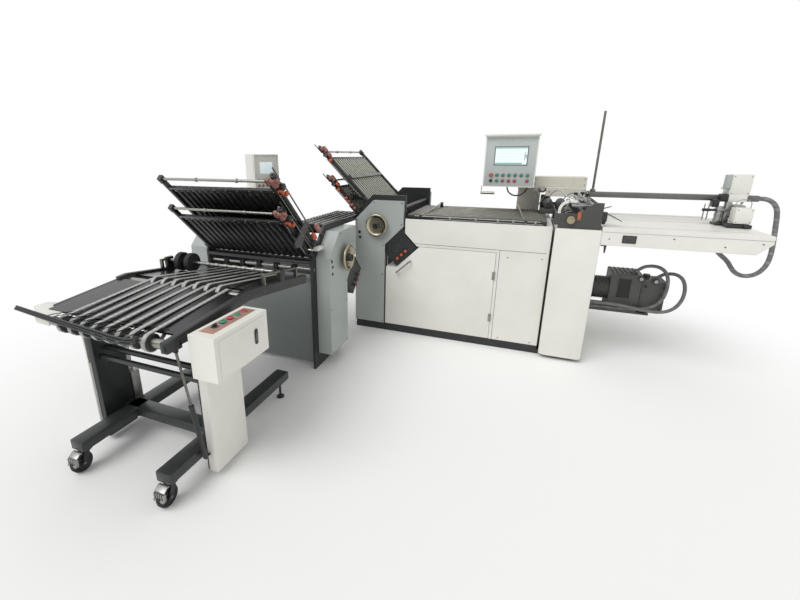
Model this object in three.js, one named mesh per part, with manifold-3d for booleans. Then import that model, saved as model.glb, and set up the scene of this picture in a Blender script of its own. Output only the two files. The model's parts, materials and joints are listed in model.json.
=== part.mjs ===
// Industrial paper folding machine: feeder and first fold unit in line, second fold unit at a right
// angle to it, and a mobile delivery table. Millimetres, +Z up, operator side towards -Y.
// The origin is on the floor under the middle of the main cabinet, and paper runs towards -X.
import * as THREE from 'three';
import { mergeVertices } from 'three/addons/utils/BufferGeometryUtils.js';
import Module from 'manifold-3d';

const wasm = await Module();
wasm.setup();

// Driving sizes of the whole machine
const sheetWidth = 780;
const sheetPlay = 10;
const seat = 0.3;
const running = 1;
const overrun = 8;
const skin = 3;
const frameThick = 15;
const shaftRadius = 12;
const shaftPlay = 0.6;
const rollerRadius = 26;
const frameGap = sheetWidth + 2 * sheetPlay;

// Facets of round pieces: fine for what is seen close, coarse for the rest
const fine = 24;
const middle = 14;
const coarse = 8;
const rootHalf = Math.SQRT1_2;

// Finishes
const finish = (color, roughness, metalness) =>
  new THREE.MeshStandardMaterial({ color, roughness, metalness });
const whiteCoat = () => finish(0xe6e6df, 0.45, 0);
const greyCoat = () => finish(0x8f989b, 0.45, 0.1);
const blackCoat = () => finish(0x26292a, 0.5, 0.2);
const steel = () => finish(0xc4c4bf, 0.28, 1);
const brassSteel = () => finish(0xb9ae93, 0.3, 1);
const rubber = () => finish(0x1d1e1f, 0.8, 0);
const hoseGrey = () => finish(0x777b7b, 0.6, 0);
const orange = () => finish(0xd9562a, 0.45, 0);
const green = () => finish(0x2f8f58, 0.4, 0);
const red = () => finish(0xc23a33, 0.4, 0);
const charcoal = () => finish(0x3a3d3f, 0.55, 0.1);
const grille = () => finish(0x595b50, 0.45, 0.4);

// Solid shapes, joins and cuts
function toSolid(geometry) {
  const bare = geometry.clone();
  bare.deleteAttribute('normal');
  bare.deleteAttribute('uv');
  const merged = mergeVertices(bare);
  const vertProperties = new Float32Array(merged.attributes.position.array);
  const triVerts = new Uint32Array(merged.index.array);
  return new wasm.Manifold(new wasm.Mesh({ numProp: 3, vertProperties, triVerts }));
}

function toGeometry(solid) {
  const mesh = solid.getMesh();
  const geometry = new THREE.BufferGeometry();
  geometry.setAttribute('position', new THREE.BufferAttribute(new Float32Array(mesh.vertProperties), 3));
  geometry.setIndex(new THREE.BufferAttribute(new Uint32Array(mesh.triVerts), 1));
  return geometry;
}

function join(...shapes) {
  return toGeometry(shapes.flat().map(toSolid).reduce((whole, next) => whole.add(next)));
}

function cut(base, ...tools) {
  return toGeometry(tools.flat().map(toSolid).reduce((whole, tool) => whole.subtract(tool), toSolid(base)));
}

const span = (from, size) => [from, from + size];
const about = (centre, size) => [centre - size / 2, centre + size / 2];

function slab([x0, x1], [y0, y1], [z0, z1]) {
  const box = new THREE.BoxGeometry(x1 - x0, y1 - y0, z1 - z0);
  return box.translate((x0 + x1) / 2, (y0 + y1) / 2, (z0 + z1) / 2);
}

// A round bar along one axis; the other two coordinates follow in alphabetical order
function drum(axis, radius, [from, to], a, b, sides = middle) {
  const bar = new THREE.CylinderGeometry(radius, radius, to - from, sides);
  const centre = (from + to) / 2;
  if (axis === 'x') return bar.rotateZ(Math.PI / 2).translate(centre, a, b);
  if (axis === 'y') return bar.translate(a, centre, b);
  return bar.rotateX(Math.PI / 2).translate(a, b, centre);
}

// A turned shape about an axis along Y; the profile is radius against distance from the place
function turned(profile, x, y, z, sides = fine) {
  const points = profile.map(([radius, along]) => new THREE.Vector2(radius, along));
  return new THREE.LatheGeometry(points, sides).translate(x, y, z);
}

function outlineShape(points) {
  return new THREE.Shape(points.map(([a, b]) => new THREE.Vector2(a, b)));
}

// A plate whose outline is drawn in x and z, or in y and z, or in x and y
function plateAlongY(points, [y0, y1]) {
  const plate = new THREE.ExtrudeGeometry(outlineShape(points), { depth: y1 - y0, bevelEnabled: false });
  return plate.rotateX(Math.PI / 2).translate(0, y1, 0);
}

function plateAlongX(points, [x0, x1]) {
  const plate = new THREE.ExtrudeGeometry(outlineShape(points), { depth: x1 - x0, bevelEnabled: false });
  const turn = new THREE.Matrix4().set(0, 0, 1, x0, 1, 0, 0, 0, 0, 1, 0, 0, 0, 0, 0, 1);
  return plate.applyMatrix4(turn);
}

function plateAlongZ(points, [z0, z1]) {
  const plate = new THREE.ExtrudeGeometry(outlineShape(points), { depth: z1 - z0, bevelEnabled: false });
  return plate.translate(0, 0, z0);
}

// The same outline drawn in by a wall, for points listed anticlockwise
function inset(points, wall) {
  return points.map((corner, i) => {
    const before = points[(i + points.length - 1) % points.length];
    const after = points[(i + 1) % points.length];
    const into = unit(corner[0] - before[0], corner[1] - before[1]);
    const out = unit(after[0] - corner[0], after[1] - corner[1]);
    const share = wall / (1 + into[0] * out[0] + into[1] * out[1]);
    return [corner[0] - (into[1] + out[1]) * share, corner[1] + (into[0] + out[0]) * share];
  });
}

function unit(a, b) {
  const length = Math.hypot(a, b);
  return [a / length, b / length];
}

// A hose or cable: an open smooth curve with a round section
function hose(points, radius, steps, sides) {
  const route = new THREE.CatmullRomCurve3(points.map((p) => new THREE.Vector3(...p)), false, 'centripetal');
  const section = new THREE.Shape();
  for (let i = 0; i < sides; i += 1) {
    const angle = (i * 2 * Math.PI) / sides;
    const place = [radius * Math.cos(angle), radius * Math.sin(angle)];
    if (i === 0) section.moveTo(...place);
    else section.lineTo(...place);
  }
  section.closePath();
  return new THREE.ExtrudeGeometry(section, { steps, extrudePath: route, bevelEnabled: false });
}

// A straight round bar between two places
function slantedBar(from, to, radius, sides = coarse) {
  const start = new THREE.Vector3(...from);
  const way = new THREE.Vector3(...to).sub(start);
  const bar = new THREE.CylinderGeometry(radius, radius, way.length(), sides);
  const turn = new THREE.Quaternion().setFromUnitVectors(new THREE.Vector3(0, 1, 0), way.clone().normalize());
  return bar.applyQuaternion(turn).translate(...start.addScaledVector(way, 0.5).toArray());
}

const machine = new THREE.Group();

function piece(name, material, geometry, parent = machine) {
  const mesh = new THREE.Mesh(geometry, material);
  mesh.name = name;
  parent.add(mesh);
  return mesh;
}

// Main cabinet, its places measured from the origin
const cabinet = {
  length: 1161, pastFrames: 50, plinth: 63, doorRise: 11, top: 933, wheelDrop: 60, secondDrop: 203,
  fasciaStart: 148, wall: 20, doorWidth: 822, doorThick: 20, doorGap: 2, cornerDrop: 168,
};
const cabinetLeft = -cabinet.length / 2;
const cabinetRight = cabinet.length / 2;
const front = -frameGap / 2 - cabinet.pastFrames;
const rear = -front;

// Fold head, the same on both units, measured from the hand wheel's axis
const head = {
  shoulder: 37, slope: 150, trail: 205, drop: 5, rim: 40, edge: 8,
  lowerStart: 31, lowerWidth: 219, lowerReach: 184, lowerClear: 10, lowerLeg: 2,
  handleShares: [0.35, 0.55, 0.75], handleOutShare: 0.8,
};
const firstFold = {
  n: 1, wheelHeight: cabinet.top - cabinet.wheelDrop, casingDepth: 40, gearDepth: 80, lead: 188, trail: 61,
  foot: cabinet.plinth + seat, frameFoot: cabinet.plinth + seat, frameLead: 0,
  longPlate: 503, shortPlate: 300, longOffset: 57, shortOffset: 167, clearCabinet: 11,
};
const secondFold = {
  n: 2, wheelHeight: cabinet.top - cabinet.secondDrop, casingDepth: 98, gearDepth: 190, lead: 227, trail: 47,
  foot: 100, frameFoot: 0, frameLead: 54,
  longPlate: 560, shortPlate: 400, longOffset: 135, shortOffset: 223,
};
const firstWheelX = cabinetLeft - firstFold.clearCabinet - firstFold.trail;
const handWheel = { radius: 88, rim: 15, hub: 24, bore: 10, stand: 42, web: 8, boss: 58 };
const plateBar = {
  thick: 8, wide: 16, rail: 26, railWide: 22, strip: 18, bars: 16, dip: 8, arm: 68, rod: 8, sheet: 2,
  sheetIn: 1,
};
const spindle = { radius: 5, knob: 19, knobLong: 44, knobGap: 14, reach: 128, inset: 12 };
const stopBar = { thick: 12, wide: 26, carrier: 40, share: 0.55 };

function casingOutline(s) {
  const top = s.wheelHeight + head.shoulder + head.slope;
  const elbow = s.wheelHeight - head.drop;
  return [
    [-s.lead, s.foot], [s.trail, s.foot], [s.trail, elbow - head.trail + s.trail], [head.trail, elbow],
    [head.trail, top], [-s.lead + head.slope, top], [-s.lead, s.wheelHeight + head.shoulder],
  ];
}

function frameOutline(s) {
  const shoulder = s.wheelHeight + head.shoulder;
  const top = shoulder + head.slope + head.rim;
  const elbow = s.wheelHeight - head.drop;
  const rise = head.rim / rootHalf;
  return [
    [-s.lead - s.frameLead, s.frameFoot], [s.trail + head.edge, s.frameFoot],
    [s.trail + head.edge, elbow - head.trail + s.trail + head.edge],
    [head.trail + head.edge, elbow + head.edge],
    [head.trail + head.edge, top], [top - shoulder - s.lead - rise, top],
    [-s.lead - s.frameLead, shoulder + rise - s.frameLead],
  ];
}

// The places across a fold unit, from the operator casing's outer face
function across(s) {
  const frameNear = s.casingDepth + seat;
  const gapNear = frameNear + frameThick;
  const gapFar = gapNear + frameGap;
  const frameFar = gapFar + frameThick;
  const gearNear = frameFar + seat;
  return { frameNear, gapNear, gapFar, frameFar, gearNear, gearFar: gearNear + s.gearDepth };
}

const nip = (2 * rollerRadius + running) * rootHalf;
const exit = { lead: 22, drop: 36, collar: 24, collarLong: 30, collars: 5 };
const tie = { radius: 14, low: 130, high: 60, inset: 30, outlet: 12 };

function shaftPlaces(s) {
  const places = [[0, s.wheelHeight], [-nip, s.wheelHeight - nip]];
  if (s.frameLead > 0) places.push([-s.lead - exit.lead, s.wheelHeight - exit.drop]);
  return places;
}

function foldFrames(s, group) {
  const y = across(s);
  const outline = frameOutline(s);
  const holes = (from, to) => shaftPlaces(s).map(([x, z]) =>
    drum('y', shaftRadius + shaftPlay, [from - overrun, to + overrun], x, z, middle));
  const near = cut(plateAlongY(outline, [y.frameNear, y.gapNear]), holes(y.frameNear, y.gapNear));
  piece(`frame_${s.n}_operator_side`, blackCoat(), near, group);
  const top = s.wheelHeight + head.shoulder + head.slope;
  const tiePlaces = [
    [head.trail - tie.inset, top - tie.high], [-s.lead + tie.inset, s.foot + tie.low],
    [s.trail - tie.inset, s.foot + tie.low],
  ];
  if (s.frameLead > 0) tiePlaces.push([-s.lead - s.frameLead + tie.radius, s.wheelHeight + tie.outlet]);
  const ties = tiePlaces.map(([x, z]) =>
    drum('y', tie.radius, [y.gapNear + seat, y.gapFar + frameThick / 2], x, z, coarse));
  const far = cut(join(plateAlongY(outline, [y.gapFar, y.frameFar]), ties), holes(y.gapFar, y.frameFar));
  piece(`frame_${s.n}_drive_side`, blackCoat(), far, group);
}

function foldCasings(s, group) {
  const y = across(s);
  const outline = casingOutline(s);
  const hollow = inset(outline, skin);
  const shaftHole = drum('y', shaftRadius + shaftPlay, [-overrun, s.casingDepth], 0, s.wheelHeight, middle);
  const near = cut(plateAlongY(outline, [0, s.casingDepth]),
    plateAlongY(hollow, [skin, s.casingDepth + overrun]), shaftHole);
  piece(`casing_${s.n}_operator_side`, greyCoat(), near, group);
  const far = cut(plateAlongY(outline, [y.gearNear, y.gearFar]),
    plateAlongY(hollow, [y.gearNear - overrun, y.gearFar - skin]));
  piece(`gear_casing_${s.n}`, s.n === 1 ? charcoal() : greyCoat(), far, group);
}

function handWheelShape(s) {
  const back = -handWheel.stand + handWheel.rim;
  const bossEnd = -handWheel.boss;
  const wheelIn = handWheel.radius - handWheel.rim;
  const shaftEnd = across(s).frameNear - seat;
  return turned([
    [0, bossEnd + handWheel.bore], [handWheel.bore, bossEnd + handWheel.bore], [handWheel.bore, bossEnd],
    [handWheel.hub, bossEnd], [handWheel.hub + handWheel.web, back - handWheel.web],
    [wheelIn, back - handWheel.web],
    [wheelIn, -handWheel.stand], [handWheel.radius - handWheel.web, -handWheel.stand - handWheel.web / 2],
    [handWheel.radius, -handWheel.stand + handWheel.web / 2], [handWheel.radius, back],
    [handWheel.hub, back + handWheel.web], [shaftRadius, back + handWheel.web], [shaftRadius, shaftEnd],
    [0, shaftEnd],
  ], 0, 0, s.wheelHeight);
}

function rollerShape(s, radius, x, z) {
  const y = across(s);
  return turned([
    [0, y.frameNear], [shaftRadius, y.frameNear], [shaftRadius, y.gapNear + running],
    [radius, y.gapNear + running], [radius, y.gapFar - running], [shaftRadius, y.gapFar - running],
    [shaftRadius, y.frameFar], [0, y.frameFar],
  ], x, 0, z, middle);
}

// An upper buckle plate: grille, side rails, end arms with a rod, and its adjusting spindle.
// Its own frame has Z out along the plate and X across its thickness.
function bucklePlate(s, length, offset) {
  const y = across(s);
  const inner = [y.gapNear + running, y.gapFar - running];
  const width = inner[1] - inner[0];
  const low = -plateBar.dip;
  const rails = [
    slab(about(offset, plateBar.rail), span(inner[0], plateBar.railWide), [low, length + plateBar.arm]),
    slab(about(offset, plateBar.rail), [inner[1] - plateBar.railWide, inner[1]],
      [low, length + plateBar.arm]),
  ];
  const pitch = (width - 2 * plateBar.railWide) / (plateBar.bars + 1);
  const bars = [];
  for (let i = 1; i <= plateBar.bars; i += 1) {
    const centre = inner[0] + plateBar.railWide + i * pitch;
    bars.push(slab(about(offset, plateBar.thick), about(centre, plateBar.wide), [low, length]));
  }
  const sheetX = offset + plateBar.thick / 2 - plateBar.sheetIn;
  const sheet = slab([sheetX - plateBar.sheet, sheetX],
    [inner[0] + plateBar.railWide - running, inner[1] - plateBar.railWide + running], [low, length]);
  const stripBack = [offset - plateBar.rail / 2, offset];
  const strips = [low, length - plateBar.strip].map((z) =>
    slab(stripBack, [inner[0] + overrun, inner[1] - overrun], span(z, plateBar.strip)));
  const lugs = [y.frameNear, y.gapFar - overrun].map((from) =>
    slab(about(offset, plateBar.rail), span(from, frameThick + overrun),
      span(head.rim + seat, plateBar.strip * 2)));
  const rodAt = length + plateBar.arm - plateBar.rod;
  const rod = drum('y', plateBar.rod, [inner[0] + overrun, inner[1] - overrun], offset, rodAt, coarse);
  const carrier = slab(about(offset, plateBar.rail), [y.frameNear, inner[0] + overrun],
    span(length - plateBar.strip, plateBar.strip + plateBar.arm));
  const screwY = y.frameNear - spindle.inset;
  const screwBase = length - plateBar.strip;
  const screw = drum('z', spindle.radius, span(screwBase, spindle.reach + plateBar.arm), offset, screwY,
    coarse);
  const knobs = [0, 1].map((i) => drum('z', spindle.knob,
    span(screwBase + spindle.knobGap + i * (spindle.knobLong + spindle.knobGap), spindle.knobLong),
    offset, screwY, coarse));
  return join(rails, bars, sheet, strips, lugs, rod, carrier, screw, knobs);
}

function stopBarShape(s, length, offset) {
  const y = across(s);
  const play = running / 2;
  const face = offset + plateBar.thick / 2 + running / 2;
  const reach = [y.gapNear + running + plateBar.railWide + play,
    y.gapFar - running - plateBar.railWide - play];
  const at = length * stopBar.share;
  const bar = slab([face, face + stopBar.thick], reach, about(at, stopBar.wide));
  const nearEnd = slab([face, face + stopBar.thick * 2], span(reach[0], stopBar.carrier),
    about(at, stopBar.carrier));
  return join(bar, nearEnd);
}

// The lower buckle plate, in a frame with Z out of the head's diagonal edge and X down along it
function lowerPlate(s) {
  const y = across(s);
  const reach = [seat, head.lowerReach];
  const endWide = span(head.lowerStart, head.lowerWidth);
  const legClear = (head.trail - s.trail - head.edge - head.lowerLeg) / rootHalf;
  const endOutline = [
    [endWide[0], reach[0]], [legClear + reach[0], reach[0]], [endWide[1], endWide[1] - legClear],
    [endWide[1], reach[1]], [endWide[0], reach[1]],
  ];
  const nearEnd = plateAlongY(endOutline, [skin, y.gapNear]);
  const farEnd = plateAlongY(endOutline, [y.gapFar, y.frameFar]);
  const body = slab(about(head.lowerStart + head.lowerWidth / 2, plateBar.rail * 2),
    [y.gapNear - overrun, y.gapFar + overrun], reach);
  const handles = head.handleShares.map((share) =>
    drum('y', spindle.knob / 2, [skin - spindle.knobLong / 2, skin + overrun],
      endWide[0] + head.lowerWidth * share, head.lowerReach * head.handleOutShare, coarse));
  return join(nearEnd, farEnd, body, handles);
}

function foldUnit(s, place, turn) {
  const group = new THREE.Group();
  group.position.set(...place);
  group.rotation.z = turn;
  machine.add(group);
  foldFrames(s, group);
  foldCasings(s, group);
  piece(`hand_wheel_${s.n}`, brassSteel(), handWheelShape(s), group);
  piece(`fold_roller_${s.n}a`, steel(), rollerShape(s, rollerRadius, 0, s.wheelHeight), group);
  piece(`fold_roller_${s.n}b`, steel(), rollerShape(s, rollerRadius, -nip, s.wheelHeight - nip), group);
  const upper = new THREE.Group();
  upper.position.set(-s.lead + head.slope, 0, s.wheelHeight + head.shoulder + head.slope);
  upper.rotation.y = -Math.PI / 4;
  group.add(upper);
  const plates = [['a', s.longPlate, -s.longOffset], ['b', s.shortPlate, -s.shortOffset]];
  for (const [letter, length, offset] of plates) {
    piece(`fold_plate_${s.n}${letter}`, grille(), bucklePlate(s, length, offset), upper);
    piece(`stop_bar_${s.n}${letter}`, steel(), stopBarShape(s, length, offset), upper);
  }
  const lower = new THREE.Group();
  lower.position.set(head.trail, 0, s.wheelHeight - head.drop);
  lower.rotation.y = (3 * Math.PI) / 4;
  group.add(lower);
  piece(`lower_plate_${s.n}`, blackCoat(), lowerPlate(s), lower);
  return group;
}

foldUnit(firstFold, [firstWheelX, front, 0], 0);

// The lower plate's outer corners as seen from the front, with the cabinet's clearance round them
const notchTip = {
  x: firstWheelX + head.trail + (head.lowerReach - head.lowerStart) * rootHalf + head.lowerClear / rootHalf,
  z: firstFold.wheelHeight - head.drop - (head.lowerReach + head.lowerStart) * rootHalf,
};
const fasciaLeft = cabinetLeft + cabinet.fasciaStart;
const notchLift = notchTip.z - notchTip.x;
const cornerTop = notchTip.z - cabinet.cornerDrop;
const doorTop = notchTip.z + cabinet.doorRise;
const cabinetOutline = [
  [cabinetLeft, cabinet.plinth + seat], [cabinetRight, cabinet.plinth + seat], [cabinetRight, cabinet.top],
  [fasciaLeft, cabinet.top], [fasciaLeft, notchTip.z + notchTip.x - fasciaLeft], [notchTip.x, notchTip.z],
  [cornerTop - notchLift, cornerTop], [cabinetLeft, cornerTop],
];
const hingeX = cabinetLeft + cabinet.doorWidth;
const doorX = [cabinetLeft + cabinet.doorGap, hingeX - cabinet.doorGap];
const doorZ = [cabinet.plinth + cabinet.doorGap, doorTop - cabinet.doorGap];
const doorOutline = [
  [doorX[0], doorZ[0]], [doorX[1], doorZ[0]], [doorX[1], doorZ[1]], [doorZ[1] - notchLift, doorZ[1]],
  [cornerTop - notchLift, cornerTop], [doorX[0], cornerTop],
];

// Base frame on the floor, with the dark post between cabinet and end housing
const column = { gap: 24, width: 257, proud: 52, bottom: 27, drop: 33, round: 26 };
const columnTop = cabinet.top - column.drop;
const base = { inset: 10, bar: 80, lead: 6 };
const columnLeft = cabinetRight + column.gap;
const columnRight = columnLeft + column.width;
const columnFront = front - column.proud;
const baseLeft = firstWheelX - firstFold.lead + base.lead;
const baseY = [front + base.inset, rear + firstFold.gearDepth / 2];
const baseTop = cabinet.plinth;
const baseFrame = [
  slab([baseLeft, columnRight - base.inset], span(baseY[0], base.bar), [0, column.bottom - seat]),
  slab([baseLeft, columnRight - base.inset], [baseY[1] - base.bar, baseY[1]], [0, column.bottom - seat]),
  slab([baseLeft, cabinetRight], span(baseY[0], base.bar), [0, baseTop]),
  slab([baseLeft, cabinetRight], [baseY[1] - base.bar, baseY[1]], [0, baseTop]),
  slab(span(baseLeft, base.bar), baseY, [0, baseTop]),
  slab([cabinetRight - base.bar, cabinetRight], baseY, [0, baseTop]),
  slab(about(0, base.bar), baseY, [0, baseTop]),
  slab([cabinetRight - seat, columnLeft - seat], [front + base.bar, rear - base.bar],
    [0, cabinet.top - base.bar]),
];
piece('main_base', blackCoat(), cut(join(baseFrame),
  slab([cabinetRight - overrun, cabinetRight + seat], [front, rear], [baseTop, cabinet.top])));

const shellCavity = plateAlongY(inset(cabinetOutline, cabinet.wall),
  [front + 2 * cabinet.wall + cabinet.doorThick, rear - cabinet.wall]);
const doorRecess = slab([cabinetLeft - overrun, hingeX],
  [front - overrun, front + cabinet.doorThick + running], [cabinet.plinth, doorTop]);
const doorway = plateAlongY(inset(doorOutline, 2 * cabinet.wall), [front, front + 4 * cabinet.wall]);
piece('cabinet_shell', whiteCoat(),
  cut(plateAlongY(cabinetOutline, [front, rear]), shellCavity, doorRecess, doorway));

// Door on the cabinet's left, hinged at its right edge, with a slanted pull bar
const hinge = { radius: 6, long: 60, low: 170, leaf: 16 };
const hingeY = front - hinge.radius - seat;
const pull = { radius: 7, stand: 26, foot: 5, fromX: 94, drop: 37, runX: 105, runZ: 99 };
const pullX = cabinetLeft + pull.fromX;
const pullY = front - pull.stand;
const pullZ = cornerTop - pull.drop;
const barrels = [cabinet.plinth + hinge.low, doorTop - hinge.low].flatMap((z) => [
  drum('z', hinge.radius, about(z, hinge.long), hingeX, hingeY, coarse),
  slab([hingeX - hinge.leaf, hingeX], [front - hinge.radius, front + running], about(z, hinge.long)),
]);
const barrelRelief = [cabinet.plinth + hinge.low, doorTop - hinge.low].map((z) =>
  slab([hingeX - cabinet.doorGap, hingeX + hinge.radius], [front - seat, front + 2 * running],
    about(z, hinge.long + overrun)));
const pullFeet = [0, 1].map((i) => drum('y', pull.foot, [pullY, front + running],
  pullX + i * pull.runX, pullZ + i * pull.runZ, coarse));
piece('cabinet_door', whiteCoat(), join(
  cut(plateAlongY(doorOutline, [front, front + cabinet.doorThick]), barrelRelief), barrels, pullFeet,
  slantedBar([pullX, pullY, pullZ], [pullX + pull.runX, pullY, pullZ + pull.runZ], pull.radius)));

// End housing below the feeder, open underneath
const roundShares = [[0, 1], [0.3, 0.3], [1, 0]];
const columnPlan = [
  ...roundShares.map(([a, b]) => [columnLeft + a * column.round, columnFront + b * column.round]),
  ...roundShares.map(([a, b]) => [columnRight - b * column.round, columnFront + a * column.round]),
  [columnRight, rear], [columnLeft, rear],
];
piece('end_housing', whiteCoat(), cut(plateAlongZ(columnPlan, [column.bottom, columnTop]),
  plateAlongZ(inset(columnPlan, 2 * skin), [column.bottom - overrun, columnTop - 2 * skin])));

// Feed table to the right of the housing, a folded sheet with deep aprons
const table = {
  length: 843, proud: 44, narrower: 56, rise: 19, apron: 111, chamferX: 66, chamferZ: 64,
  wall: 15, endBlock: 130,
};
const tableLeft = columnRight + seat;
const tableRight = columnRight + table.length;
const tableFront = front - table.proud;
const tableRear = tableFront + frameGap - table.narrower;
const tableTop = cabinet.top + table.rise;
const apronBottom = tableTop - table.apron;
const tableProfile = [
  [tableLeft, apronBottom], [tableRight - table.chamferX, apronBottom],
  [tableRight, apronBottom + table.chamferZ],
  [tableRight, tableTop], [tableLeft, tableTop],
];
piece('feed_table', whiteCoat(), cut(plateAlongY(tableProfile, [tableFront, tableRear]),
  slab([tableLeft + table.wall, tableRight - table.endBlock],
    [tableFront + table.wall, tableRear - table.wall],
    [apronBottom - overrun, tableTop - table.wall])));

// Feeder frame: two dark side plates tied by three rods, standing on the end housing
const feeder = {
  plate: 15, frontInset: 30, upper: 201, step: 128, low: 53, tail: 28, neck: 52, slope: 74,
  rod: 9, drumX: 98, drumRise: 90, drumRadius: 40, knob: 31, knobLong: 28, shaft: 9, drumLong: 34, drums: 5,
};
const feederTop = columnTop + feeder.upper;
const feederStep = columnTop + feeder.step;
const feederLow = columnTop + feeder.low;
const feederLeft = columnLeft - feeder.tail;
const feederFront = front - feeder.frontInset;
const feederOutline = [
  [columnLeft + seat, columnTop + seat], [columnRight - base.inset, columnTop + seat],
  [columnRight - base.inset, feederTop], [columnRight - base.inset - feeder.neck, feederTop],
  [columnRight - base.inset - feeder.neck - feeder.slope, feederStep], [feederLeft, feederStep],
  [feederLeft, feederLow], [columnLeft + seat, feederLow],
];
const feederShaft = { x: feederLeft + feeder.drumX, z: columnTop + feeder.drumRise };
const feederRods = [
  [feederLeft + feeder.rod + feeder.plate, feederStep - feeder.plate - feeder.rod],
  [columnRight - base.inset - feeder.plate, feederTop - feeder.plate - feeder.rod],
  [columnRight - base.inset - feeder.plate, feederLow],
].map(([x, z]) => drum('y', feeder.rod, [feederFront + seat, tableRear - seat], x, z, coarse));
const lever = { pin: 7, x: 144, rise: 100, head: 20, thick: 14, arm: 40, play: 0.5 };
const leverX = feederLeft + lever.x;
const leverZ = columnTop + lever.rise;
piece('feeder_frame', charcoal(), cut(join(
  plateAlongY(feederOutline, span(feederFront, feeder.plate)),
  plateAlongY(feederOutline, [tableRear - feeder.plate, tableRear]), feederRods),
  drum('y', feeder.shaft + shaftPlay, [feederFront - overrun, tableRear + overrun], feederShaft.x,
    feederShaft.z),
  drum('y', lever.pin + lever.play, [feederFront - overrun, feederFront + feeder.plate / 2], leverX,
    leverZ)));
const feedDrums = [];
for (let i = 0; i < feeder.drums; i += 1) {
  const centre = feederFront + ((tableRear - feederFront) * (i + 1)) / (feeder.drums + 1);
  feedDrums.push(drum('y', feeder.drumRadius, about(centre, feeder.drumLong), feederShaft.x, feederShaft.z));
}
piece('suction_drum', steel(), join(feedDrums,
  drum('y', feeder.shaft, [feederFront - feeder.knobLong, tableRear + feeder.plate], feederShaft.x,
    feederShaft.z),
  drum('y', feeder.knob, [feederFront - feeder.knobLong, feederFront - running], feederShaft.x,
    feederShaft.z)));
piece('feeder_lever', orange(), join(
  drum('y', lever.pin, [feederFront - lever.thick, feederFront + feeder.plate / 2 - running], leverX,
    leverZ, coarse),
  slab(about(leverX, lever.head), [feederFront - lever.thick, feederFront - running],
    [leverZ - lever.head / 2, leverZ + lever.arm])));

// Register table on the cabinet: two rails, end bars, two raised cross bars and long steel rods
const register = {
  start: 10, end: 16, proud: 5, narrower: 145, rail: 30, height: 32, rods: 11, rod: 7, crossWide: 24,
  crossRise: 30, nearShare: 0.13, farShare: 0.82, sheet: 3,
};
const registerX = [fasciaLeft + register.start, cabinetRight - register.end - column.gap];
const registerDepth = frameGap - register.narrower;
const registerY = span(front + register.proud, registerDepth);
const registerZ = span(cabinet.top + seat, register.height);
const registerRods = [];
for (let i = 0; i < register.rods; i += 1) {
  const y = registerY[0] + ((i + 1) * registerDepth) / (register.rods + 1);
  registerRods.push(drum('x', register.rod, [registerX[0] + running, registerX[1] - running], y,
    registerZ[1] - register.rod / 2, coarse));
}
const crossBars = [register.nearShare, register.farShare].map((share) =>
  slab(about(registerX[0] + share * (registerX[1] - registerX[0]), register.crossWide), registerY,
    [registerZ[1] - register.rod / 2, registerZ[1] + register.crossRise]));
piece('register_table', steel(), join(
  slab(registerX, registerY, span(registerZ[0], register.sheet)),
  slab(registerX, span(registerY[0], register.rail), registerZ),
  slab(registerX, [registerY[1] - register.rail, registerY[1]], registerZ),
  slab(span(registerX[0], register.rail), registerY, registerZ),
  slab([registerX[1] - register.rail, registerX[1]], registerY, registerZ), crossBars, registerRods));

// Feeder housing: a stand on the cabinet behind the register table, a bridge to the cover box over the
// feed path, and the arm that carries the beam
const cover = {
  standBack: 256.5, standWide: 170, standThick: 60, behind: 2, boxBack: 148.5, boxPast: 208.5, y: 0,
  depth: 150, bridge: 90, high: 302, low: 217, armBack: 55.5, armLow: 161, armDepth: 60,
};
const coverLeft = cabinetRight - cover.boxBack;
const coverRight = cabinetRight + cover.boxPast;
const coverLow = cabinet.top + cover.low;
const coverRear = cover.y + cover.depth;
const standX = span(cabinetRight - cover.standBack, cover.standWide);
const standY = span(registerY[1] + cover.behind, cover.standThick);
piece('feeder_housing', finish(0xdedbcf, 0.5, 0), join(
  slab(standX, standY, [cabinet.top + seat, coverLow]),
  slab([standX[0], coverLeft + overrun], [coverRear - cover.bridge, standY[1]],
    [coverLow - overrun, coverLow + overrun]),
  slab([coverLeft, coverRight], [cover.y, coverRear], [coverLow, cabinet.top + cover.high]),
  slab([cabinetRight - cover.armBack, coverRight], about(cover.y + cover.armDepth / 4, cover.armDepth),
    [cabinet.top + cover.armLow, coverLow + overrun])));

// Beam over the feed table with the tall marker pole at its root
const beam = {
  width: 40, height: 38, rise: 4, end: 71, pole: 8, poleLong: 542, poleX: 44, socket: 15, socketHigh: 40,
};
const beamLeft = coverRight + seat;
const beamRight = tableRight + beam.end;
const beamZ = span(cabinet.top + cover.armLow + beam.rise, beam.height);
piece('feed_beam', charcoal(), join(
  slab([beamLeft, beamRight], about(cover.y, beam.width), beamZ),
  drum('z', beam.socket, [beamZ[1] - running, beamZ[1] + beam.socketHigh], beamLeft + beam.poleX, cover.y,
    coarse),
  drum('z', beam.pole, span(beamZ[1], beam.poleLong), beamLeft + beam.poleX, cover.y, coarse)));

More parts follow.
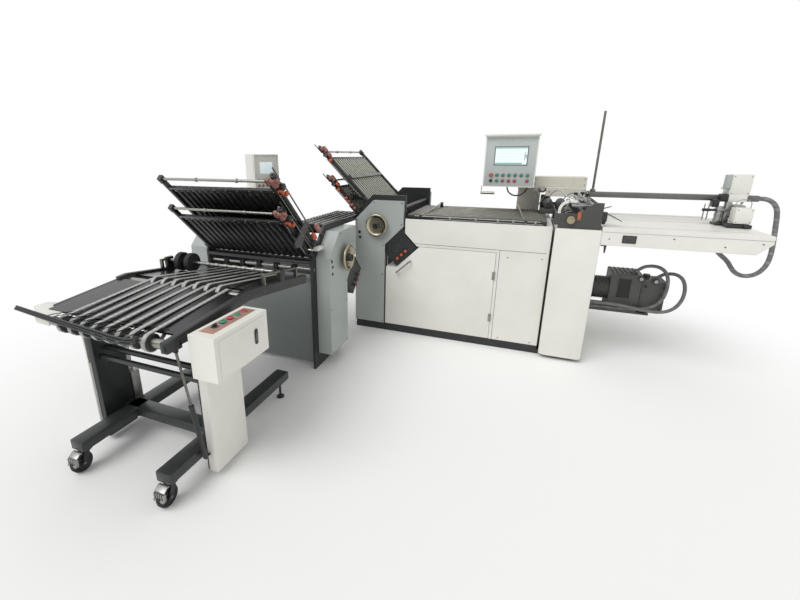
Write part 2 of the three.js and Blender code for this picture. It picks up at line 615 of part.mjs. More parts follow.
// Sheet guide head that slides along the beam
const guide = {
  endGap: 36, wide: 120, depth: 54, below: 13, tower: 134, towerWide: 92, boxX: 36, boxWide: 86, boxHigh: 75,
  footWide: 60, footLong: 360, footHigh: 30, postWide: 44, cap: 14,
};
const guideRight = tableRight - guide.endGap;
const guideLow = beamZ[0] - guide.below;
const guideX = [guideRight - guide.wide, guideRight];
const guideY = [cover.y - beam.width / 2 - seat - guide.depth, cover.y - beam.width / 2 - seat];
const capTop = beamZ[1] + seat + guide.cap;
const guideFootTop = tableTop + running + guide.footHigh;
piece('feed_head', whiteCoat(), join(
  slab(guideX, guideY, [guideLow, capTop]),
  slab(guideX, [guideY[0], cover.y + beam.width / 2], [beamZ[1] + seat, capTop]),
  slab(span(guideX[0] + guide.cap, guide.towerWide), guideY, [capTop - running, beamZ[1] + guide.tower]),
  slab(span(guideX[0], guide.postWide), guideY, [guideFootTop - running, guideLow + running]),
  slab(span(guideX[0] - guide.cap, guide.footWide), [guideY[1] - guide.footLong, guideY[1]],
    [tableTop + running, guideFootTop]),
  slab(span(guideX[0] + guide.boxX, guide.boxWide), guideY, span(guideFootTop - running, guide.boxHigh))));

// Conduit from the beam's end round to the underside of the feed table, held at both ends
const conduitRadius = 14;
const conduitRoute = [
  [beamRight + seat, 0, 1117], [1786, 0, 1117], [1798, 0, 1117], [1823, 0, 1112], [1846, 0, 1100],
  [1865, 0, 1082], [1879, 0, 1059], [1888, 0, 1030], [1894, 0, 995], [1900, 0, 950], [1906, 0, 900],
  [1912, 0, 845], [1917, 0, 790], [1918, 0, 740], [1913, 0, 697], [1900, 0, 660], [1878, 0, 630],
  [1848, 0, 611], [1814, 0, 605], [1781, 0, 612], [1753, 0, 631], [1731, 0, 658], [1712, 0, 686],
  [1690, 0, 710], [1666, 0, 731], [1643, 0, 753], [1625, 0, 779], [1615, 0, 808], [1612, 0, 828],
  [1612, 0, apronBottom - seat],
];
piece('head_conduit', hoseGrey(), hose(conduitRoute, conduitRadius, 38, 8));

// Vacuum pump on a shelf from the end housing, with its motor and its two air hoses
const pump = {
  shelfLong: 400, shelf: 13, shelfZ: 325, back: 143, inward: 205, depth: 190, bodyX: 143, bodyLong: 185,
  bodyHigh: 268, endLong: 145, endHigh: 228, motor: 78, motorX: 48, motorRise: 136, port: 13, portLong: 28,
  knob: 22, knobHigh: 24, knobIn: 45, firstPort: 121, secondPort: 240.5,
};
const pumpY = span(front + pump.inward, pump.depth);
const pumpMid = pumpY[0] + pump.depth / 2;
const pumpFloor = pump.shelfZ + pump.shelf;
const pumpTop = pumpFloor + pump.bodyHigh;
const pumpEndTop = pumpFloor + pump.endHigh;
const pumpX = columnRight + pump.bodyX;
const pumpEnd = pumpX + pump.bodyLong + pump.endLong;
const portY = pumpY[0] + overrun + pump.port;
const pressurePort = [pumpX + pump.firstPort, portY, pumpTop - running];
const suctionPort = [pumpX + pump.secondPort, portY, pumpEndTop - running];
const alongPort = ([x, y, z], length) => [x + length * rootHalf, y, z + length * rootHalf];
piece('vacuum_pump', charcoal(), join(
  slab(span(columnRight + seat, pump.shelfLong), pumpY, span(pump.shelfZ, pump.shelf)),
  slab(span(columnRight + seat, pump.shelf), pumpY, [pump.shelfZ, pumpFloor + pump.back]),
  slab(span(pumpX, pump.bodyLong), pumpY, [pumpFloor - running, pumpTop]),
  slab([pumpX + pump.bodyLong - running, pumpEnd], [pumpY[0] + overrun, pumpY[1] - overrun],
    [pumpFloor + overrun, pumpEndTop]),
  drum('x', pump.motor, [columnRight + pump.motorX, pumpX + running], pumpMid, pumpFloor + pump.motorRise),
  [pressurePort, suctionPort].map((from) =>
    slantedBar(from, alongPort(from, pump.portLong), pump.port, middle)),
  drum('z', pump.knob, [pumpEndTop - running, pumpEndTop + pump.knobHigh],
    pumpX + pump.bodyLong + pump.knobIn,
    pumpMid + pump.knob, coarse)));
const hoseRadius = 11;
const hoseLead = 12;
const outOfPort = (from) => [0, 1, 2].map((i) => alongPort(from, pump.portLong + seat + i * hoseLead));
const firstHoseRoute = [
  ...outOfPort(pressurePort), [1186, -227, 661], [1212, -236, 672], [1240, -246, 676], [1268, -255, 671],
  [1292, -262, 656], [1310, -267, 631], [1321, -270, 598],
  [1326, -270, 560], [1326, -270, 520], [1320, -270, 480], [1306, -270, 444], [1283, -270, 413],
  [1252, -270, 390], [1214, -270, 377], [1165, -270, 371], [1100, -270, 368], [1030, -270, 366],
  [950, -270, 365], [900, -270, 365], [columnRight + seat, -270, 365],
];
const secondHoseRoute = [
  ...outOfPort(suctionPort), [1306, -228, 621],
  [1330, -240, 631], [1354, -254, 635], [1376, -268, 629], [1394, -280, 614], [1406, -290, 591],
  [1413, -297, 562], [1416, -301, 529], [1414, -302, 496], [1406, -302, 462], [1391, -302, 430],
  [1368, -302, 404], [1338, -302, 386], [1302, -302, 377], [1255, -302, 375], [1200, -302, 380],
  [1140, -302, 389], [1080, -302, 396], [1010, -302, 400], [950, -302, 400], [900, -302, 400],
  [columnRight + seat, -302, 400],
];
piece('pump_hose_pressure', hoseGrey(), hose(firstHoseRoute, hoseRadius, 32, 8));
piece('pump_hose_suction', hoseGrey(), hose(secondHoseRoute, hoseRadius, 32, 8));

// Control panel on a post and arm from the feeder housing; panel and arm swing about the post
const panel = {
  width: 361, height: 361, depth: 80, rise: 13, postIn: 30, postRear: 45, pastPost: 35, front: 245, lip: 26,
  lipSide: 8, lipHigh: 12, armWide: 40, armHigh: 40, armRise: 5, post: 18, postCollar: 26,
};
const panelButton = {
  stopIn: 56, startIn: 52, z: 84, radius: 11, stopRadius: 14, proud: 14, gap: 8, stem: 8, play: 0.5, hole: 16,
  long: 10, round: 3,
};
const postX = coverLeft - panel.postIn;
const postY = coverRear - panel.postRear;
const panelX = [postX + panel.pastPost - panel.width, postX + panel.pastPost];
const panelY = span(postY - panel.front, panel.depth);
const panelZ = span(coverLow + panel.rise, panel.height);
const armZ = span(cabinet.top + cover.high + panel.armRise, panel.armHigh);
const panelButtonZ = panelZ[0] + panelButton.z;
const stopX = panelX[0] + panelButton.stopIn;
const startX = panelX[1] - panelButton.startIn;
piece('control_panel', whiteCoat(), cut(join(
  slab(panelX, panelY, panelZ),
  slab([panelX[0] - panel.lipSide, panelX[1] + panel.lipSide], [panelY[0] - panel.lip, panelY[1]],
    span(panelZ[1] - skin, panel.lipHigh)),
  slab(about(postX, panel.armWide), [panelY[1] - running, postY], armZ),
  drum('z', panel.postCollar, span(coverLow + overrun + seat, panel.armWide / 2), postX, postY),
  drum('z', panel.post, [coverLow + overrun + seat, armZ[1]], postX, postY)),
  [stopX, startX].map((x) => drum('y', panelButton.stem + panelButton.play,
    [panelY[0] - overrun, panelY[0] + panelButton.hole], x, panelButtonZ))));
for (const [name, colour, x, cap] of [
  ['panel_stop_button', orange, stopX, panelButton.stopRadius],
  ['panel_start_button', green, startX, panelButton.radius],
]) {
  piece(name, colour(), turned([
    [0, -panelButton.proud], [cap - panelButton.round, -panelButton.proud],
    [cap, -panelButton.proud + panelButton.round], [cap, -panelButton.gap],
    [panelButton.stem, -panelButton.gap],
    [panelButton.stem, panelButton.long], [0, panelButton.long],
  ], x, panelY[0], panelButtonZ, middle));
}

// Second fold unit, turned so that its paper leaves towards -Y
const second = { back: 53.5, out: 519 };
const secondPlace = { x: firstWheelX - second.back, y: front - second.out };
foldUnit(secondFold, [secondPlace.x, secondPlace.y, 0], Math.PI / 2);
const secondAcross = across(secondFold);
const secondGapX = [secondPlace.x - secondAcross.gapFar, secondPlace.x - secondAcross.gapNear];
const frontPanel = { z: 28, drop: 90, thick: 14, flange: 40 };
const frontPanelTop = secondFold.wheelHeight - frontPanel.drop;
const secondFrontY = secondPlace.y - secondFold.lead - frontPanel.thick;
piece('front_panel', greyCoat(), join(
  slab([secondGapX[0] + seat, secondGapX[1] - seat], span(secondFrontY, frontPanel.thick),
    [frontPanel.z, frontPanelTop]),
  slab([secondGapX[0] + seat, secondGapX[1] - seat], span(secondFrontY, frontPanel.flange),
    span(frontPanel.z, frontPanel.thick))));

// Delivery shaft with its paper collars at the second unit's outlet
const exitX = secondGapX;
const exitY = secondPlace.y - secondFold.lead - exit.lead;
const exitZ = secondFold.wheelHeight - exit.drop;
const collars = [];
for (let i = 0; i < exit.collars; i += 1) {
  const centre = exitX[0] + ((i + 1) * frameGap) / (exit.collars + 1);
  collars.push(drum('x', exit.collar, about(centre, exit.collarLong), exitY, exitZ));
}
piece('exit_shaft', steel(), join(collars,
  drum('x', shaftRadius, [exitX[0] - frameThick, exitX[1] + frameThick], exitY, exitZ)));

// Crossing table that takes sheets from the first unit round to the second
const crossing = {
  below: 17, high: 40, rail: 24, inset: 9, wide: 244, long: 710, rods: 4, rod: 7, bracket: 70, bar: 26,
};
const secondTop = secondFold.wheelHeight + head.shoulder + head.slope;
const crossingY = span(secondPlace.y + crossing.inset, crossing.long);
const crossingX = [firstWheelX - firstFold.lead - seat - crossing.wide, firstWheelX - firstFold.lead - seat];
const crossingZ = span(secondTop - crossing.below, crossing.high);
const crossingRods = [];
for (let i = 0; i < crossing.rods; i += 1) {
  const x = crossingX[0] + ((i + 1) * (crossingX[1] - crossingX[0])) / (crossing.rods + 1);
  crossingRods.push(drum('y', crossing.rod, [crossingY[0] + running, crossingY[1] - running], x,
    crossingZ[1] - crossing.rod, coarse));
}
piece('crossing_table', steel(), join(
  slab(span(crossingX[0], crossing.rail), crossingY, crossingZ),
  slab([crossingX[1] - crossing.rail, crossingX[1]], crossingY, crossingZ),
  slab(crossingX, span(crossingY[0], crossing.bar), crossingZ),
  slab(crossingX, [crossingY[1] - crossing.bar, crossingY[1]], crossingZ),
  slab([crossingX[1] - running, secondGapX[1] - seat], span(crossingY[0], crossing.bracket), crossingZ),
  crossingRods));

// Second control panel on a bent arm from the gear casing, turned towards the inner corner
const secondPanel = {
  width: 240, depth: 105, height: 300, postIn: 139, postLong: 183, turnShare: 0.4, across: 112,
  along: 285, post: 20, collar: 30, elbow: 60,
};
const secondPost = [secondPlace.x - secondAcross.gearFar + secondFold.gearDepth / 2,
  secondPlace.y + secondPanel.postIn];
const secondPanelPlace = [secondPost[0] + secondPanel.across, secondPost[1] + secondPanel.along];
const secondPanelZ = secondTop + secondPanel.postLong;
const secondPanelBox = slab(about(0, secondPanel.width), about(0, secondPanel.depth), [0, secondPanel.height])
  .rotateZ(Math.PI * secondPanel.turnShare).translate(...secondPanelPlace, secondPanelZ);
const elbowZ = secondPanelZ + secondPanel.elbow;
piece('second_control_panel', whiteCoat(), join(secondPanelBox,
  drum('z', secondPanel.collar, span(secondTop + seat, overrun), ...secondPost),
  drum('z', secondPanel.post, [secondTop + seat, elbowZ], ...secondPost),
  slantedBar([...secondPost, elbowZ - secondPanel.post], [...secondPanelPlace, elbowZ - secondPanel.post],
    secondPanel.post * rootHalf)));

// Mobile delivery: deck with side rails, infeed part sloping down to the second unit
const deck = {
  halfWidth: 405, aside: 52.3, dock: 150, infeedLong: 545, tableLong: 507, nearRise: 19, middleRise: 69,
  innerRise: 22, railHigh: 50, rail: 26, plate: 8, belowRail: 12, rollerInset: 48, crossBar: 50, padHigh: 25,
};
const stand = {
  leftIn: 206, rightIn: 85, beamWide: 80, beamLow: 110, beamHigh: 50, beamPast: 35, beamLong: 904,
  crossIn: 100, crossWide: 75, columnIn: 162, columnDepth: 222, columnLow: 30, columnWide: 60, leftGap: 20,
  drop: 26, rodIn: 40, rodZ: 462, rod: 14, rodStep: 34, pad: 22, padInset: 40,
};
const innerTop = exitZ + deck.innerRise;
const nearTop = innerTop + deck.nearRise;
const middleTop = innerTop + deck.middleRise;
const standTop = innerTop - stand.drop;
const deckMid = (secondGapX[0] + secondGapX[1]) / 2 + deck.aside;
const deckX = about(deckMid, 2 * deck.halfWidth);
const deckInner = secondPlace.y - secondFold.lead - secondFold.frameLead - deck.dock;
const deckMiddle = deckInner - deck.infeedLong;
const deckNear = deckMiddle - deck.tableLong;
const beamX = [deckX[0] + stand.leftIn, deckX[1] - stand.rightIn];
const rightColumnX = span(beamX[1] + stand.beamWide / 2, stand.columnWide);
const leftColumnX = span(beamX[0] - stand.beamWide / 2 - stand.leftGap - stand.columnWide, stand.columnWide);
const columnY = span(deckNear + stand.columnIn, stand.columnDepth);
const footY = span(deckNear - stand.beamPast, stand.beamLong);
const footZ = span(stand.beamLow, stand.beamHigh);
const railOutline = [
  [deckNear, nearTop - deck.railHigh], [deckMiddle, middleTop - deck.railHigh],
  [deckInner, innerTop - deck.railHigh], [deckInner, innerTop], [deckMiddle, middleTop],
  [deckNear, nearTop],
];
const nearRollerY = deckNear + deck.rollerInset;
const deckSlope = (middleTop - nearTop) / deck.tableLong;
const infeedSlope = (middleTop - innerTop) / deck.infeedLong;
const deckTopAt = (y) => middleTop - deck.belowRail - (deckMiddle - y) * deckSlope;
const infeedTopAt = (y) => middleTop - deck.belowRail - (y - deckMiddle) * infeedSlope;
const rollerD = { near: 27, middle: 24, shaft: 10, clear: 8 };
const deckFrom = nearRollerY + rollerD.near + rollerD.clear;
const deckTo = deckMiddle - rollerD.middle - rollerD.clear;
const infeedFrom = deckMiddle + rollerD.middle + rollerD.clear;
const flat = (from, to, top) => [
  [from, top(from) - deck.plate], [to, top(to) - deck.plate], [to, top(to)], [from, top(from)],
];
const nearRollerZ = deckTopAt(nearRollerY) - rollerD.near;
const middleRollerZ = deckTopAt(deckMiddle) - rollerD.middle;
const press = {
  inward: 250, rise: 3, wheel: 54, wheelLong: 34, firstShare: 0.145, gapShare: 0.09, collar: 14, collarLong: 22,
  collars: 4, post: 20, postBack: 130, arm: 18, lift: 20, lap: 8,
};
const pressY = deckInner - press.inward;
const pressZ = infeedTopAt(pressY) + press.wheel + press.rise;
const bracketTop = pressZ + press.lift;
const railX = [[deckX[0], deckX[0] + deck.rail], [deckX[1] - deck.rail, deckX[1]]];
const brackets = railX.flatMap((x) => [
  slab(x, span(pressY - press.postBack, press.post), [middleTop - deck.railHigh - press.lap, bracketTop]),
  slab(x, [pressY - press.postBack, pressY + press.post], span(bracketTop - press.arm, press.arm)),
  slab(x, about(pressY, 2 * press.arm), [pressZ - press.arm, bracketTop]),
]);
const axleHoles = [[nearRollerY, nearRollerZ], [deckMiddle, middleRollerZ], [pressY, pressZ]].map(([y, z]) =>
  drum('x', rollerD.shaft + shaftPlay, [deckX[0] - overrun, deckX[1] + overrun], y, z));
const padZ = span(standTop + seat, deck.padHigh);
const padBlocks = [leftColumnX, rightColumnX].map(([x0, x1]) =>
  slab([Math.max(x0, deckX[0]), Math.min(x1, deckX[1])], columnY, padZ));
const crossBeams = [columnY[0], columnY[1] - deck.crossBar].map((y) =>
  slab(deckX, span(y, deck.crossBar), padZ));
piece('delivery_deck', charcoal(), cut(join(
  plateAlongX(railOutline, railX[0]), plateAlongX(railOutline, railX[1]),
  plateAlongX(flat(deckFrom, deckTo, deckTopAt), deckX),
  plateAlongX(flat(infeedFrom, deckInner, infeedTopAt), deckX),
  brackets, padBlocks, crossBeams), axleHoles));

function deckRoller(radius, y, z) {
  const inner = [deckX[0] + deck.rail + running, deckX[1] - deck.rail - running];
  return join(drum('x', radius, inner, y, z, fine), drum('x', rollerD.shaft, deckX, y, z));
}
piece('near_roller', steel(), deckRoller(rollerD.near, nearRollerY, nearRollerZ));
piece('middle_roller', steel(), deckRoller(rollerD.middle, deckMiddle, middleRollerZ));

const pressSpan = deckX[1] - deckX[0];
const pressWheels = [press.firstShare, press.firstShare + press.gapShare].map((share) =>
  drum('x', press.wheel, about(deckX[0] + share * pressSpan, press.wheelLong), pressY, pressZ, fine));
const pressCollars = [];
const secondShare = press.firstShare + press.gapShare;
for (let i = 1; i <= press.collars; i += 1) {
  const share = secondShare + (i * (1 - secondShare)) / (press.collars + 1);
  pressCollars.push(drum('x', press.collar, about(deckX[0] + share * pressSpan, press.collarLong), pressY,
    pressZ));
}
piece('press_wheels', rubber(), join(pressWheels, pressCollars,
  drum('x', rollerD.shaft, deckX, pressY, pressZ)));

// Stand: two long feet, a cross beam, two columns, two cross rods and levelling pads
const feet = beamX.flatMap((x) => [
  slab(about(x, stand.beamWide), footY, footZ),
  drum('z', stand.pad, [0, footZ[0] + running], x, footY[1] - stand.padInset),
]);
const columns = [leftColumnX, rightColumnX].map((x) => slab(x, columnY, [stand.columnLow, standTop]));
const between = [leftColumnX[1] - running, rightColumnX[0] + running];
const crossRods = [0, 1].map((i) => drum('x', stand.rod, between,
  columnY[0] + stand.rodIn + i * stand.rodStep, stand.rodZ + i * stand.rodStep, coarse));
piece('delivery_stand', blackCoat(), join(feet, columns, crossRods,
  slab(between, span(columnY[0] + stand.crossIn, stand.crossWide), footZ)));

// Gas strut from the right foot up to the deck rail
const strut = { x: 26, rod: 6, tube: 12, footOut: 26, footZ: 128, headIn: 60, eye: 9, eyeLong: 14,
  tubeShare: 0.52 };
const strutX = rightColumnX[0] + strut.x;
const strutFoot = [strutX, columnY[0] - strut.footOut, strut.footZ];
const strutHeadY = deckNear + strut.headIn;
const railLowAt = deckTopAt(strutHeadY) + deck.belowRail - deck.railHigh;
const strutHead = [strutX, strutHeadY, railLowAt - strut.eye - seat];
const strutMid = strutFoot.map((value, i) => value + (strutHead[i] - value) * strut.tubeShare);
piece('gas_strut', steel(), join(
  slantedBar(strutFoot, strutMid, strut.tube), slantedBar(strutFoot, strutHead, strut.rod),
  drum('x', strut.eye, about(strutX, strut.eyeLong), strutHead[1], strutHead[2]),
  drum('x', strut.eye, about(strutX, strut.eyeLong), strutFoot[1], strutFoot[2]),
  slab(about(strutX, strut.eye), [strutFoot[1], columnY[0] - seat], about(strut.footZ, strut.eye))));

// Control box on the right column
const box = { gap: 24, width: 123, inward: 71, long: 334, drop: 125, high: 185, bracket: 60, bracketIn: 8 };
const boxButton = {
  cap: 15, proud: 9, lift: 4.5, stem: 9, stemLong: 7, hole: 14, play: 0.5,
  startShare: 0.41, stopShare: 0.54, sideShare: 0.42,
};
const boxX = span(rightColumnX[1] + box.gap, box.width);
const boxY = span(deckNear + box.inward, box.long);
const boxLow = standTop - box.drop;
const boxTop = boxLow + box.high;
const buttonX = boxX[0] + boxButton.sideShare * box.width;
const boxButtons = [['box_start_button', green, boxButton.startShare],
  ['box_stop_button', red, boxButton.stopShare]];
piece('control_box', whiteCoat(), cut(join(slab(boxX, boxY, [boxLow, boxTop]),
  slab([rightColumnX[1] + seat, boxX[0] + running], [columnY[0] + box.bracketIn, columnY[1] - box.bracketIn],
    about(boxLow + box.high / 2, box.bracket))),
  boxButtons.map(([, , share]) => drum('z', boxButton.stem + boxButton.play,
    [boxTop - boxButton.hole, boxTop + overrun],
    buttonX, boxY[0] + share * box.long))));
for (const [name, colour, share] of boxButtons) {
  const y = boxY[0] + share * box.long;
  piece(name, colour(), join(
    drum('z', boxButton.cap, [boxTop + boxButton.lift, boxTop + boxButton.proud], buttonX, y),
    drum('z', boxButton.stem, [boxTop - boxButton.stemLong, boxTop + boxButton.proud], buttonX, y)));
}

// Swivel castors under the near ends of the feet
const castor = {
  wheel: 48, wide: 30, fork: 5, crown: 30, crownPlay: 3, trail: 28, inset: 34, axle: 6, play: 1, bore: 0.5,
  forkWide: 26,
};
const swivelY = footY[0] + castor.inset;
const axleZ = castor.wheel;
const crownZ = [2 * castor.wheel + castor.crownPlay, footZ[0] - seat];
for (const [i, side] of ['left', 'right'].entries()) {
  const x = beamX[i];
  const y = swivelY - castor.trail;
  const legX = [x - castor.wide / 2 - castor.play - castor.fork, x + castor.wide / 2 + castor.play];
  const legs = legX.map((from) => plateAlongX([
    [y - castor.forkWide / 2, axleZ - castor.forkWide / 2],
    [y + castor.forkWide / 2, axleZ - castor.forkWide / 2],
    [swivelY + castor.forkWide / 2, crownZ[1]], [swivelY - castor.forkWide / 2, crownZ[1]],
  ], span(from, castor.fork)));
  piece(`castor_fork_${side}`, steel(), join(legs, drum('z', castor.crown, crownZ, x, swivelY),
    drum('x', castor.axle, [legX[0], legX[1] + castor.fork], y, axleZ)));
  piece(`castor_wheel_${side}`, rubber(), cut(drum('x', castor.wheel, about(x, castor.wide), y, axleZ, fine),
    drum('x', castor.axle + castor.bore, about(x, castor.wide + overrun), y, axleZ)));
}

export default machine;
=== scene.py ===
# Paper folding machine: finishes, trim, cords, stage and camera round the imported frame
import json
import math

import bmesh
import bpy
from mathutils import Matrix, Vector


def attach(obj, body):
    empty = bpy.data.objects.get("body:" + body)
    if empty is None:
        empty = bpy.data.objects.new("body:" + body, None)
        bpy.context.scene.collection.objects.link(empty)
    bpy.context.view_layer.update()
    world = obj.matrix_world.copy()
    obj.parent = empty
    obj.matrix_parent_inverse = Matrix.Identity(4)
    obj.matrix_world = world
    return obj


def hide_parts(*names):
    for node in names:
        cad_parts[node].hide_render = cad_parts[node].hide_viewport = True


mm = 0.001
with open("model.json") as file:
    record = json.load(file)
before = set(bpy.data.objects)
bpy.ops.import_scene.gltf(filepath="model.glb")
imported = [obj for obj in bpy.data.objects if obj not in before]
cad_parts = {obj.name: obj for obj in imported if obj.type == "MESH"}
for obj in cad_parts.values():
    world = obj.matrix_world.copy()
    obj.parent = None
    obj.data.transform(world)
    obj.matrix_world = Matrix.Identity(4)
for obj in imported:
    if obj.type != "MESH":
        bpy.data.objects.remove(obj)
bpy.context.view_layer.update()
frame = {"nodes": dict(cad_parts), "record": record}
nodeBody = {node: body for body, nodes in frame["record"]["behaviour"]["bodies"].items() for node in nodes}
print("frame loaded")

# Camera, fitted to the photograph's edges
view = {
    "place": (0.397, -3.436, 1.388), "pitch": 72.83, "yaw": 22.21, "roll": -0.15,
    "lens": 18.37, "sensor": 36, "shift": (0.053, -0.0228),
}


def linkObject(name, data):
    item = bpy.data.objects.new(name, data)
    bpy.context.scene.collection.objects.link(item)
    return item


def makeCamera():
    data = bpy.data.cameras.new("camera")
    camera = linkObject("camera", data)
    turn = Matrix.Rotation(math.radians(view["yaw"]), 4, "Z") @ Matrix.Rotation(math.radians(view["pitch"]), 4, "X")
    camera.matrix_world = (Matrix.Translation(view["place"]) @ turn
                           @ Matrix.Rotation(math.radians(view["roll"]), 4, "Z"))
    data.lens = view["lens"]
    data.sensor_width = view["sensor"]
    data.shift_x, data.shift_y = view["shift"]
    bpy.context.scene.camera = camera


makeCamera()
print("camera placed")


# Colours and shader nodes
def linearColour(hexText):
    channels = [int(hexText[i:i + 2], 16) / 255 for i in (1, 3, 5)]
    return [c / 12.92 if c <= 0.04045 else ((c + 0.055) / 1.055) ** 2.4 for c in channels] + [1]


def addNode(tree, kind, values=None, links=None, **settings):
    node = tree.nodes.new("ShaderNode" + kind)
    for name, value in settings.items():
        setattr(node, name, value)
    for socket, value in (values or {}).items():
        node.inputs[socket].default_value = value
    for socket, source in (links or {}).items():
        tree.links.new(source, node.inputs[socket])
    return node


def newMaterial(name, shader):
    material = bpy.data.materials.new(name)
    material.use_nodes = True
    tree = material.node_tree
    surface = tree.nodes["Principled BSDF"]
    for socket, value in shader.items():
        surface.inputs[socket].default_value = value
    return material, tree, surface, addNode(tree, "TexCoord").outputs["Object"]


def grainScale(size):
    return 1 / size  # noise cells per metre for a grain of this size in metres


def mixColours(tree, surface, colours, share):
    tint = addNode(tree, "Mix", dict(zip("AB", map(linearColour, colours))), {"Factor": share}, data_type="RGBA")
    tree.links.new(tint.outputs["Result"], surface.inputs["Base Color"])


def bumpSurface(tree, surface, strength, distance, height):
    bump = addNode(tree, "Bump", {"Strength": strength, "Distance": distance}, {"Height": height})
    tree.links.new(bump.outputs["Normal"], surface.inputs["Normal"])


coat, plastic, nylon = {"IOR": 1.5}, {"IOR": 1.54}, {"IOR": 1.53}


def metal(share):
    return {"Metallic": share}


# Each finish: colour and worn colour, wear, roughness range, size of grain and smudge in metres, bump, slot, shader
finishes = {
    # textured polyester powder coat over sheet steel: even, soft gloss, fine orange peel
    "whitePowderCoat": ("#E9E8E1", "#DEDCD2", 0.6, (0.36, 0.48), 0.0022, 0.35, 0.05, "white_coat", coat),
    "creamPowderCoat": ("#DAD7C9", "#CBC7B8", 0.6, (0.38, 0.5), 0.0022, 0.3, 0.05, "cream_coat", coat),
    "greyPowderCoat": ("#ABB1AE", "#A2A8A5", 0.7, (0.28, 0.42), 0.002, 0.4, 0.05, "grey_coat", coat),
    "panelPowderCoat": ("#7D8381", "#747A78", 0.7, (0.28, 0.42), 0.002, 0.4, 0.05, "grey_coat", coat),
    "charcoalPowderCoat": ("#434442", "#4D4E4B", 0.6, (0.36, 0.5), 0.002, 0.2, 0.06, "charcoal_coat", coat),
    "blackPowderCoat": ("#242627", "#303234", 0.6, (0.32, 0.46), 0.002, 0.2, 0.06, "black_coat", coat),
    "greyBeam": ("#6C6C6B", "#5E5F5E", 0.6, (0.34, 0.46), 0.002, 0.2, 0.05, "hose_grey", coat),
    # near-black sheet behind the grille bars: painted shade in the gaps between them, dead matt so the gaps stay dark
    # at a slant
    "paintedGapShadeBlack": ("#161716", "#1F201F", 0.6, (0.75, 0.9), 0.002, 0.2, 0.04, "black_coat",
                       {"IOR": 1.5, "Specular IOR Level": 0.1}),
    # hammered stove enamel on the welded stand: coarser cells than the sheet-metal coats
    "hammeredEnamel": ("#2D3130", "#383C3B", 0.7, (0.28, 0.4), 0.006, 0.12, 0.25, "black_coat", coat),
    # phosphated grille bars: grey-green and dull, with lighter rubbed spots
    "phosphatedSteel": ("#A6A799", "#B5B6A9", 0.8, (0.34, 0.5), 0.0016, 0.05, 0.05, "grille_coat", metal(0.5)),
    # near-black bars of the second unit: painted shade, the first unit's bars darkened as they lie in shade; the end
    # rake's wires are black steel in it too; satin shine
    "blackSteelAndPaintedShade": ("#1D1F1E", "#343635", 0.8, (0.26, 0.42), 0.0016, 0.05, 0.05, "grille_coat", metal(0.4)),
    # centreless-ground shafting: bright, with very fine scratches round the bar
    "groundSteel": ("#A09F9A", "#8A8A85", 0.6, (0.2, 0.34), 0.0012, 0.06, 0.03, "bright_steel", metal(1)),
    # plain rolled steel of screws and flats, darkened by handling
    "darkSteel": ("#767671", "#5E5E5A", 0.8, (0.24, 0.4), 0.0015, 0.05, 0.05, "bright_steel", metal(1)),
    # oiled round bars of the register table: dull grey-brown
    "oiledSteel": ("#77766E", "#5F5E57", 0.8, (0.34, 0.5), 0.0015, 0.08, 0.05, "bright_steel", metal(0.8)),
    # polished dark deck sheet, with long rubbing marks where the sheets run
    "polishedDeckSheet": ("#3A3A3C", "#49494B", 0.9, (0.16, 0.3), 0.003, 0.25, 0.04, "charcoal_coat", metal(0.85)),
    # sand-cast aluminium, bare or under dark enamel: coarse skin
    "castEnamel": ("#484A47", "#555753", 0.7, (0.42, 0.6), 0.004, 0.08, 0.25, "charcoal_coat", coat),
    "castAluminium": ("#A4A5A2", "#8C8D8A", 0.8, (0.3, 0.48), 0.003, 0.04, 0.15, "bright_steel", metal(0.9)),
    # turned brass, dulled to grey-yellow by hands
    "brassFitting": ("#A39A80", "#857B62", 0.8, (0.26, 0.4), 0.0012, 0.03, 0.05, "wheel_metal", metal(1)),
    # vulcanised rubber: matt, greyer where it is rubbed
    "blackRubber": ("#1B1C1D", "#2B2C2D", 0.7, (0.62, 0.82), 0.0015, 0.05, 0.1, "black_rubber", {"IOR": 1.52}),
    # moulded nylon: fine eroded texture, half matt
    "greyNylon": ("#77797A", "#65676A", 0.7, (0.42, 0.6), 0.0015, 0.05, 0.08, "grey_coat", nylon),
    "blackNylon": ("#1E1F20", "#2A2B2C", 0.7, (0.35, 0.5), 0.0012, 0.04, 0.06, "black_coat", nylon),
    # moulded ABS of knobs and buttons: smooth and glossy
    "orangeAbs": ("#C35A37", "#AB4D2E", 0.7, (0.28, 0.42), 0.001, 0.03, 0.03, "orange_plastic", plastic),
    "rosewoodAbs": ("#935F57", "#7C4D46", 0.8, (0.3, 0.45), 0.001, 0.03, 0.03, "orange_plastic", plastic),
    "greenAbs": ("#38896B", "#30795E", 0.6, (0.22, 0.35), 0.001, 0.02, 0.02, "green_plastic", plastic),
    "redAbs": ("#B9454B", "#A43C42", 0.6, (0.22, 0.35), 0.001, 0.02, 0.02, "red_plastic", plastic),
    # polyester foil on the panels: smooth, half matt; the copper one is metallised
    "panelFoil": ("#BEC5C3", "#B4BBB9", 0.6, (0.34, 0.44), 0.001, 0.1, 0.03, "grey_coat", coat),
    "copperFoil": ("#C49686", "#B58777", 0.7, (0.26, 0.4), 0.001, 0.05, 0.03, "cream_coat", metal(0.4)),
    # lit screen behind float glass, with plain coloured fields
    "screenGlass": ("#EAF6F6", "#DFEFEF", 0.5, (0.06, 0.12), 0.002, 0.1, 0, "cream_coat",
                    {"IOR": 1.5, "Emission Color": linearColour("#E7F9FB"), "Emission Strength": 0.3}),
    "screenMint": ("#8CCDBB", "#7FC0AE", 0.4, (0.2, 0.3), 0.001, 0.05, 0.01, "green_plastic", coat),
    # extruded polyurethane tube: pale and smooth
    "clearTube": ("#B9BFC0", "#A9B0B1", 0.5, (0.2, 0.3), 0.002, 0.05, 0.02, "hose_grey", {"IOR": 1.45}),
}
